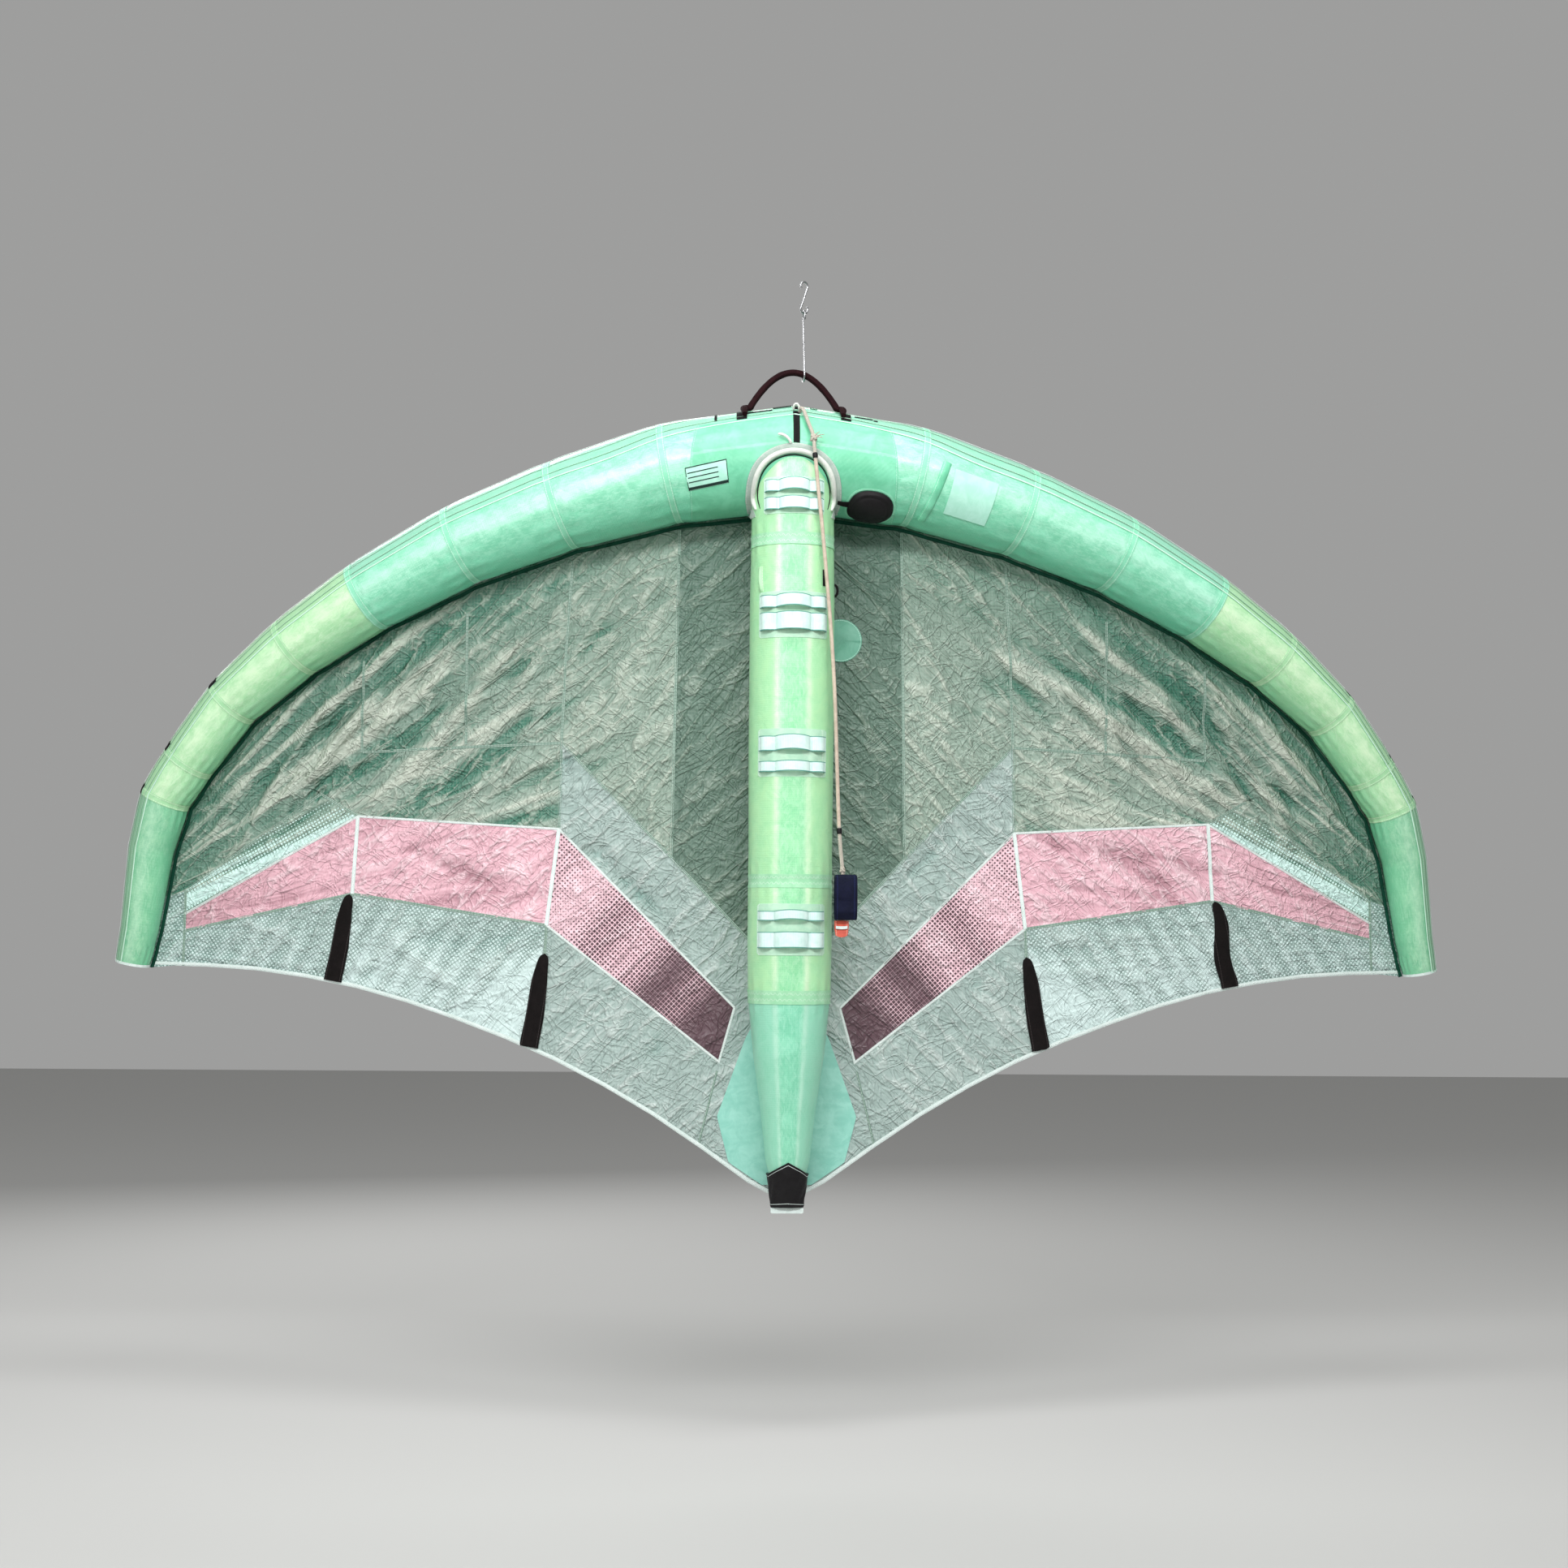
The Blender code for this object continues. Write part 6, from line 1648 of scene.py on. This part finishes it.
def addHandle():
    at = handle["half"] / joints[1].x
    foot = [onTube(at, turn, handle["footRadius"] + handle["footClear"]) for turn in handle["footTurns"]]
    points = [Vector((2.0 * wingX - p.x, p.y, p.z)) for p in foot]
    for i in range(1, handle["arch"]):
        turn = math.pi * (1.0 - i / handle["arch"])
        rise = math.sin(turn) ** 2
        points.append(Vector((wingX + handle["half"] * math.cos(turn), mix(foot[-1].y, 0.0, rise),
                              mix(handle["shoulder"], handle["top"], rise))))
    path, _ = smoothPath(points + foot[::-1], handle["spacing"])

    def radiusAt(t):
        near = smoothStep(0.0, handle["footShare"], min(t, 1.0 - t))
        crumple = 1.0 + handle["crumple"] * math.sin(70.0 * t) * math.sin(23.0 * t + 1.0)
        return mix(handle["footRadius"], handle["radius"], near) * crumple
    grip = tubeAlong("nose_handleFine", path, radiusAt, 24, handle["flat"])
    finish(grip, "handleCloth", "handle_maroon", "nose_handle")


addHandle()


# Hooks: a round wire spun round each loop, with a slanted shank between
hooks = {
    "hook_upper": {"insideTop": 0.0, "insideLow": -0.0635, "loop": 0.0100, "turn": 40.0},
    "hook_lower": {"insideTop": -0.0632, "insideLow": -0.2115, "loop": 0.0130, "turn": 96.0},
    "wire": 0.00225, "open": 215.0, "steps": 28,
}


def addHook(name):
    row, still, yAxis = hooks[name], (0.0, 0.0, 0.0), (0.0, 1.0, 0.0)
    loop, wire = row["loop"], hooks["wire"]
    upper = row["insideTop"] - (loop - wire)
    lower = row["insideLow"] + (loop - wire)
    start = math.radians(hooks["open"])
    unselect()
    bpy.ops.mesh.primitive_circle_add(vertices=16, radius=wire, fill_type="NGON", location=still)
    item = bpy.context.object
    item.name = item.data.name = name + "Fine"
    setMode("EDIT")
    pickMesh()
    bpy.ops.transform.rotate(value=start, orient_axis="Y", orient_type="GLOBAL", center_override=still)
    bpy.ops.transform.translate(value=(loop * math.cos(start), 0.0, upper + loop * math.sin(start)))
    bpy.ops.mesh.spin(steps=hooks["steps"], dupli=False, angle=-start, center=(0.0, 0.0, upper), axis=yAxis)
    bpy.ops.mesh.extrude_region_move(TRANSFORM_OT_translate={"value": (-2.0 * loop, 0.0, lower - upper)})
    bpy.ops.mesh.spin(steps=hooks["steps"], dupli=False, angle=start, center=(0.0, 0.0, lower), axis=yAxis)
    pickMesh()
    bpy.ops.mesh.normals_make_consistent(inside=False)
    bpy.ops.transform.rotate(value=-math.radians(row["turn"]), orient_axis="Z", orient_type="GLOBAL",
                             center_override=still)
    setMode("OBJECT")
    finish(item, "steelWire", "hook_steel", name)


addHook("hook_upper")
addHook("hook_lower")


# Leash: one line from the nose to the cuff, with beads and knots on it
leash = {
    "radius": 0.004, "spacing": 0.010,
    "route": [
        (0.0120, -0.0714, -0.2953), (0.0125, -0.0765, -0.2895), (0.0165, -0.0850, -0.2905),
        (0.0230, -0.0960, -0.3080), (0.0300, -0.1060, -0.3300), (0.038, -0.1190, -0.3560),
        (0.042, -0.1290, -0.4000), (0.049, -0.1290, -0.4700), (0.058, -0.1240, -0.5500),
        (0.067, -0.1180, -0.6400), (0.078, -0.1120, -0.7600), (0.087, -0.1080, -0.8950),
        (0.093, -0.1060, -1.0490), (0.098, -0.1080, -1.1740), (0.106, -0.1120, -1.2670),
    ],
    "sheath": (-0.408, -1.168), "end": 0.0010,
    # Name, height, length and radius of the beads; name, height and radius of the knots
    "beads": [("leashBeadTop", -0.403, 0.011, 0.0056), ("leashBeadLow", -1.174, 0.012, 0.0056)],
    "knots": [("leashKnotTop", -0.359, 0.0068), ("leashKnotLow", -1.259, 0.0054)],
    "frayed": ((0.022, -0.006, 0.006), (0.018, -0.008, -0.001), (0.012, -0.004, 0.012)),
}


# Braided cord, with a smooth sheath along its middle
def addLeashPaint():
    paints["leashCord"], tree, shader = newMaterial("leashCord", 0.62, 0.15)
    spot = coordinates(tree, "Object")
    height, (top, foot), soft = splitUp(tree, spot)[2], leash["sheath"], leash["end"]
    inside = sums(tree, "MULTIPLY", spread(tree, height, top + soft, top - soft),
                  spread(tree, height, foot - soft, foot + soft))
    braid = bands(tree, spot, "DIAGONAL", 190.0, 3.0, 1.0, 60.0)
    cloud = useGroup(tree, mottle, spot, Scale=60.0)["Cloud"]
    line = blendColour(tree, braid, (0.420, 0.370, 0.300), (0.740, 0.690, 0.590))
    sheath = blendColour(tree, cloud, (0.460, 0.370, 0.290), (0.600, 0.500, 0.400))
    dress(tree, shader, blendColour(tree, inside, line, sheath),
          sums(tree, "MULTIPLY", braid, sums(tree, "SUBTRACT", 1.1, inside)), 0.0008, 0.8)


def pathAt(path, height):
    near = min(range(len(path)), key=lambda i: abs(path[i].z - height) + (0.5 if i < 4 else 0.0))
    along = (path[min(near + 1, len(path) - 1)] - path[max(near - 1, 0)]).normalized()
    return path[near], along


def addBead(path, name, height, long, radius):
    centre, along = pathAt(path, height)
    points = [centre + along * mix(-long / 2, long / 2, k / 12) for k in range(13)]
    bead = tubeAlong(name, points,
                     lambda t: radius * (0.72 + 0.28 * math.sin(math.pi * mix(0.12, 0.88, t)) ** 0.5), 20)
    return finish(bead, "rubber", "rubber_black")


# An overhand knot: a fat cord turned twice round the line
def addKnot(path, name, height, radius):
    centre, along = pathAt(path, height)
    across = along.cross(Vector((0.0, 1.0, 0.0))).normalized()
    out = along.cross(across)
    points = []
    for k in range(61):
        turn = math.tau * 2.0 * k / 60
        reach = radius * (0.66 + 0.20 * math.sin(1.5 * turn))
        points.append(centre + across * (reach * math.cos(turn)) + out * (reach * math.sin(turn))
                      + along * (radius * 0.75 * math.sin(1.5 * turn + 0.4)))
    knot = tubeAlong(name, points, lambda t: radius * 0.42 * min(1.0, 0.4 + 12.0 * min(t, 1.0 - t)), 12)
    return finish(knot, "leashCord", "leash_beige")


def addFrayedEnds(path):
    centre, _ = pathAt(path, leash["knots"][0][1])
    ends = []
    for number, reach in enumerate(leash["frayed"]):
        tip = centre + Vector(reach)
        points = [centre.lerp(tip, k / 10) + Vector((0.0, 0.0, 0.002 * math.sin(math.pi * k / 10)))
                  for k in range(11)]
        strand = tubeAlong(f"frayedEnd{number}", points, lambda t: 0.0022 * (1.0 - 0.7 * t), 8)
        ends.append(finish(strand, "leashCord", "leash_beige"))
    return ends


# Cuff: a padded band bent into a flattened ring, open from side to side
cuff = {"centre": (0.1120, -0.112, -1.3145), "wide": 0.046, "deep": 0.050, "tall": 0.094, "wall": 0.0056,
        "power": 0.7, "edgePower": 0.35, "creases": 9.0, "crease": 0.0006, "girthRadius": 0.045}


def rounded(value, power):
    return math.copysign(abs(value) ** power, value)


def addCuff():
    middle = Vector(cuff["centre"]) + Vector((wingX, 0.0, 0.0))

    def place(u, v):
        turn, around = math.tau * v, math.tau * u
        half = cuff["wall"] / 2
        pad = max(0.0, abs(math.sin(around))) ** 0.5 * math.copysign(1.0, math.sin(around))
        crease = cuff["crease"] * math.sin(cuff["creases"] * turn) * math.sin(around)
        inset = half - pad * half - crease + 0.0002
        return middle + Vector((rounded(math.cos(around), cuff["edgePower"]) * cuff["wide"] / 2,
                                rounded(math.cos(turn), cuff["power"]) * (cuff["deep"] / 2 - inset),
                                rounded(math.sin(turn), cuff["power"]) * (cuff["tall"] / 2 - inset)))

    def uvAt(co):
        away = co - middle
        return away.x + cuff["wide"] / 2, math.atan2(away.z, away.y) * cuff["girthRadius"]
    ring = wrapGrid("leash_cuffFine", 24, 96, place, (0.11, 0.24), closed=True)
    layUv(ring, uvAt)
    return finish(ring, "cuffCloth", "cuff_navy", "leash_cuff")


tab = {"span": 0.104, "deep": -0.1136, "wide": 0.029, "tall": 0.034, "top": -1.3618, "thick": 0.0030}


def addTab():
    def place(u, v, out=0.0):
        x = (u - 0.5) * tab["wide"] * (1.0 - 0.16 * v ** 3)
        fold = 0.0016 * math.sin(math.pi * 1.5 * v) * math.cos(math.pi * (u - 0.5))
        z = tab["top"] - tab["tall"] * v * (1.0 - 0.10 * (2.0 * u - 1.0) ** 2)
        return Vector((tab["span"] + x + wingX, tab["deep"] + fold - out, z))
    piece = wrapPiece("leash_tabFine", 14, 18, place, (0.030, tab["tall"]), "tabCloth", "tab_red", "leash_tab",
                      thick=tab["thick"])
    return [piece, wrapPiece("tabBand", 10, 4,
                             lambda u, v: place(mix(0.08, 0.92, u), mix(0.34, 0.52, v), 0.0035),
                             (0.025, 0.006), "whiteTape", "webbing_pale", thick=0.0006)]


def addLeash():
    path, total = smoothPath(leash["route"], leash["spacing"])
    path = [p + Vector((wingX, 0.0, 0.0)) for p in path]
    curve = bpy.data.curves.new("leash_lineFine", "CURVE")
    curve.dimensions = "3D"
    curve.bevel_depth = leash["radius"]
    curve.bevel_resolution = 4
    curve.use_fill_caps = True
    spline = curve.splines.new("POLY")
    spline.points.add(len(path) - 1)
    for point, spot in zip(spline.points, path):
        point.co = (*spot, 1.0)
    line = bpy.data.objects.new("leash_lineFine", curve)
    bpy.context.scene.collection.objects.link(line)
    curve.materials.append(paints["leashCord"])
    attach(line, "root")
    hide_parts("leash_line")
    pieces = [addBead(path, *row) for row in leash["beads"]] + [addKnot(path, *row) for row in leash["knots"]]
    pieces += addFrayedEnds(path) + [addCuff()] + addTab()
    tuple(path[0])
    print("leash laid:", round(total, 3), "m")


addLeashPaint()
addLeash()


# Small cords: the loop at the nose, the loose tail over the collar and the pull loop by the strut
smallCords = {
    "noseLoop": (0.0024, [(-0.002, -0.072, -0.292), (-0.001, -0.078, -0.284), (0.004, -0.080, -0.280),
                          (0.009, -0.079, -0.285), (0.010, -0.074, -0.293)]),
    "looseTail": (0.0030, [(-0.008, -0.1150, -0.372), (-0.011, -0.1165, -0.365), (-0.018, -0.1170, -0.358),
                           (-0.027, -0.1150, -0.353), (-0.035, -0.1125, -0.352)]),
}
pullLoop = {"span": 0.089, "depth": -0.030, "height": -0.667, "wide": 0.007, "tall": 0.012, "radius": 0.0026}
for name, (radius, points) in smallCords.items():
    path, _ = smoothPath([(x + wingX, y, z) for x, y, z in points], 0.003)
    cord = tubeAlong(name, path, lambda t: radius * min(1.0, 0.5 + 8.0 * min(t, 1.0 - t)), 12)
    finish(cord, "collarPipe", "leash_beige")
turns = [math.radians(mix(-150.0, 150.0, k / 32)) for k in range(33)]
points = [Vector((pullLoop["span"] + wingX + pullLoop["wide"] * math.cos(turn), pullLoop["depth"],
                  pullLoop["height"] + pullLoop["tall"] * math.sin(turn))) for turn in turns]
finish(tubeAlong("pullLoop", points, lambda t: pullLoop["radius"], 12, 0.6), "blackTape", "rubber_black")


# Valve flap: a domed fabric disc with a raised rim and a pull tab
valve = {"span": 0.170, "half": 0.0512, "turn": 59.5, "halfTurn": 26.5, "seat": 0.0014, "rim": 0.0030,
         "dome": 0.0105, "top": 0.85, "dip": 0.0010, "welt": 0.0012}


def addValve():
    def spotAt(turn, reach, lift):
        squarer = 1.0 - 0.03 * math.cos(4.0 * turn) * reach
        at = (valve["span"] + valve["half"] * reach * squarer * math.cos(turn)) / joints[1].x
        return onTube(at, valve["turn"] + valve["halfTurn"] * reach * squarer * math.sin(turn), lift)

    def place(u, v):
        turn = math.tau * u
        if v < valve["top"]:
            reach = v / valve["top"]
            crown = valve["dome"] * (1.0 - reach ** 2.4)
            welt = valve["welt"] * bell(reach - 0.86, 0.05) - valve["dip"] * bell(reach - 0.74, 0.04)
            rim = valve["rim"] * (1.0 - 0.4 * reach ** 8)
            return spotAt(turn, min(1.0, reach), valve["seat"] + rim + crown + welt)
        down = (v - valve["top"]) / (1.0 - valve["top"])
        return spotAt(turn, mix(1.0, 0.96, down), valve["seat"] + valve["rim"] * 0.6 * (1.0 - down))
    wrapPiece("valve_flapFine", 72, 40, place, (0.31, 0.06), "rubber", "rubber_black", "valve_flap",
              closed=True, capped=True)

    def tabPlace(u, v):
        at = (valve["span"] - valve["half"] - mix(-0.006, 0.022, v)) / joints[1].x
        turn = valve["turn"] - 4.0 + (u - 0.5) * mix(8.0, 5.0, v)
        return onTube(at, turn, 0.0030 + 0.002 * math.sin(math.pi * v))
    wrapPiece("valveTab", 6, 14, tabPlace, (0.013, 0.028), "blackTape", "rubber_black", thick=0.0014)
    wrapPiece("valveRing", 72, 4, lambda u, v: spotAt(math.tau * u, 1.02 + 0.09 * v, 0.0012), (0.33, 0.006),
              "tubeTape", "tube_mint", closed=True, thick=0.0006)


addValve()


# Tail cap with its pointed top, and the strap across its end
tail = {"top": -1.8600, "low": -1.957, "half": 0.034, "halfDeep": 0.011, "topHalf": 0.0470, "drop": 0.027,
        "narrowFrom": -1.8625, "depth": -0.021, "strapTop": -1.9573, "strapTall": 0.012, "strapThick": 0.0030}


def addTail():
    def place(u, v):
        turn = math.tau * u
        dip = abs(math.sin(turn / 2.0)) * 1.9 if math.cos(turn) > 0 else 1.0
        start = tail["top"] - tail["drop"] * min(1.0, dip)
        height = mix(start, tail["low"], v)
        t = clamp01((tail["narrowFrom"] - height) / (tail["narrowFrom"] - tail["low"]))
        wide = mix(tail["topHalf"], tail["half"], t)
        deep = mix(tail["topHalf"] - 0.0005, tail["halfDeep"], t ** 1.5)
        rim = 0.0012 * bell(v, 0.04) + 0.0010 * bell(v - 0.93, 0.05)
        crease = 0.0008 * math.sin(11.0 * turn + 9.0 * v) * math.sin(math.pi * v)
        x, y = (wide + rim + crease) * math.sin(turn), -(deep + rim + crease) * math.cos(turn)
        return Vector((wingX + x, tail["depth"] + 0.002 * t + y, height))
    wrapPiece("tail_capFine", 80, 36, place, (0.25, 0.09), "rubber", "rubber_black", "tail_cap", closed=True,
              capped=True)

    def stitched(u, v):
        spot = place(u, share + 0.012 * v)
        return spot + (spot - Vector((wingX, tail["depth"], spot.z))).normalized() * 0.0006
    for name, share in (("tailStitchTop", 0.055), ("tailStitchLow", 0.90)):
        wrapPiece(name, 80, 2, stitched, (0.25, 0.001), "paleSeam", "rubber_black", closed=True, thick=0.0003)

    def strapPlace(u, v):
        narrow = 1.0 - 0.25 * max(0.0, abs(2.0 * u - 1.0) - 0.9) / 0.1
        return Vector((wingX + mix(-1.0, 1.0, u) * tail["half"],
                       tail["depth"] - 0.001 + 0.0004 * math.sin(25.0 * u),
                       tail["strapTop"] - tail["strapTall"] * (0.5 + (v - 0.5) * narrow)))
    wrapPiece("tail_strapFine", 40, 6, strapPlace, (0.068, tail["strapTall"]), "whiteTape", "webbing_pale",
              "tail_strap", thick=tail["strapThick"], swapped=True)


addTail()
print("tail capped")
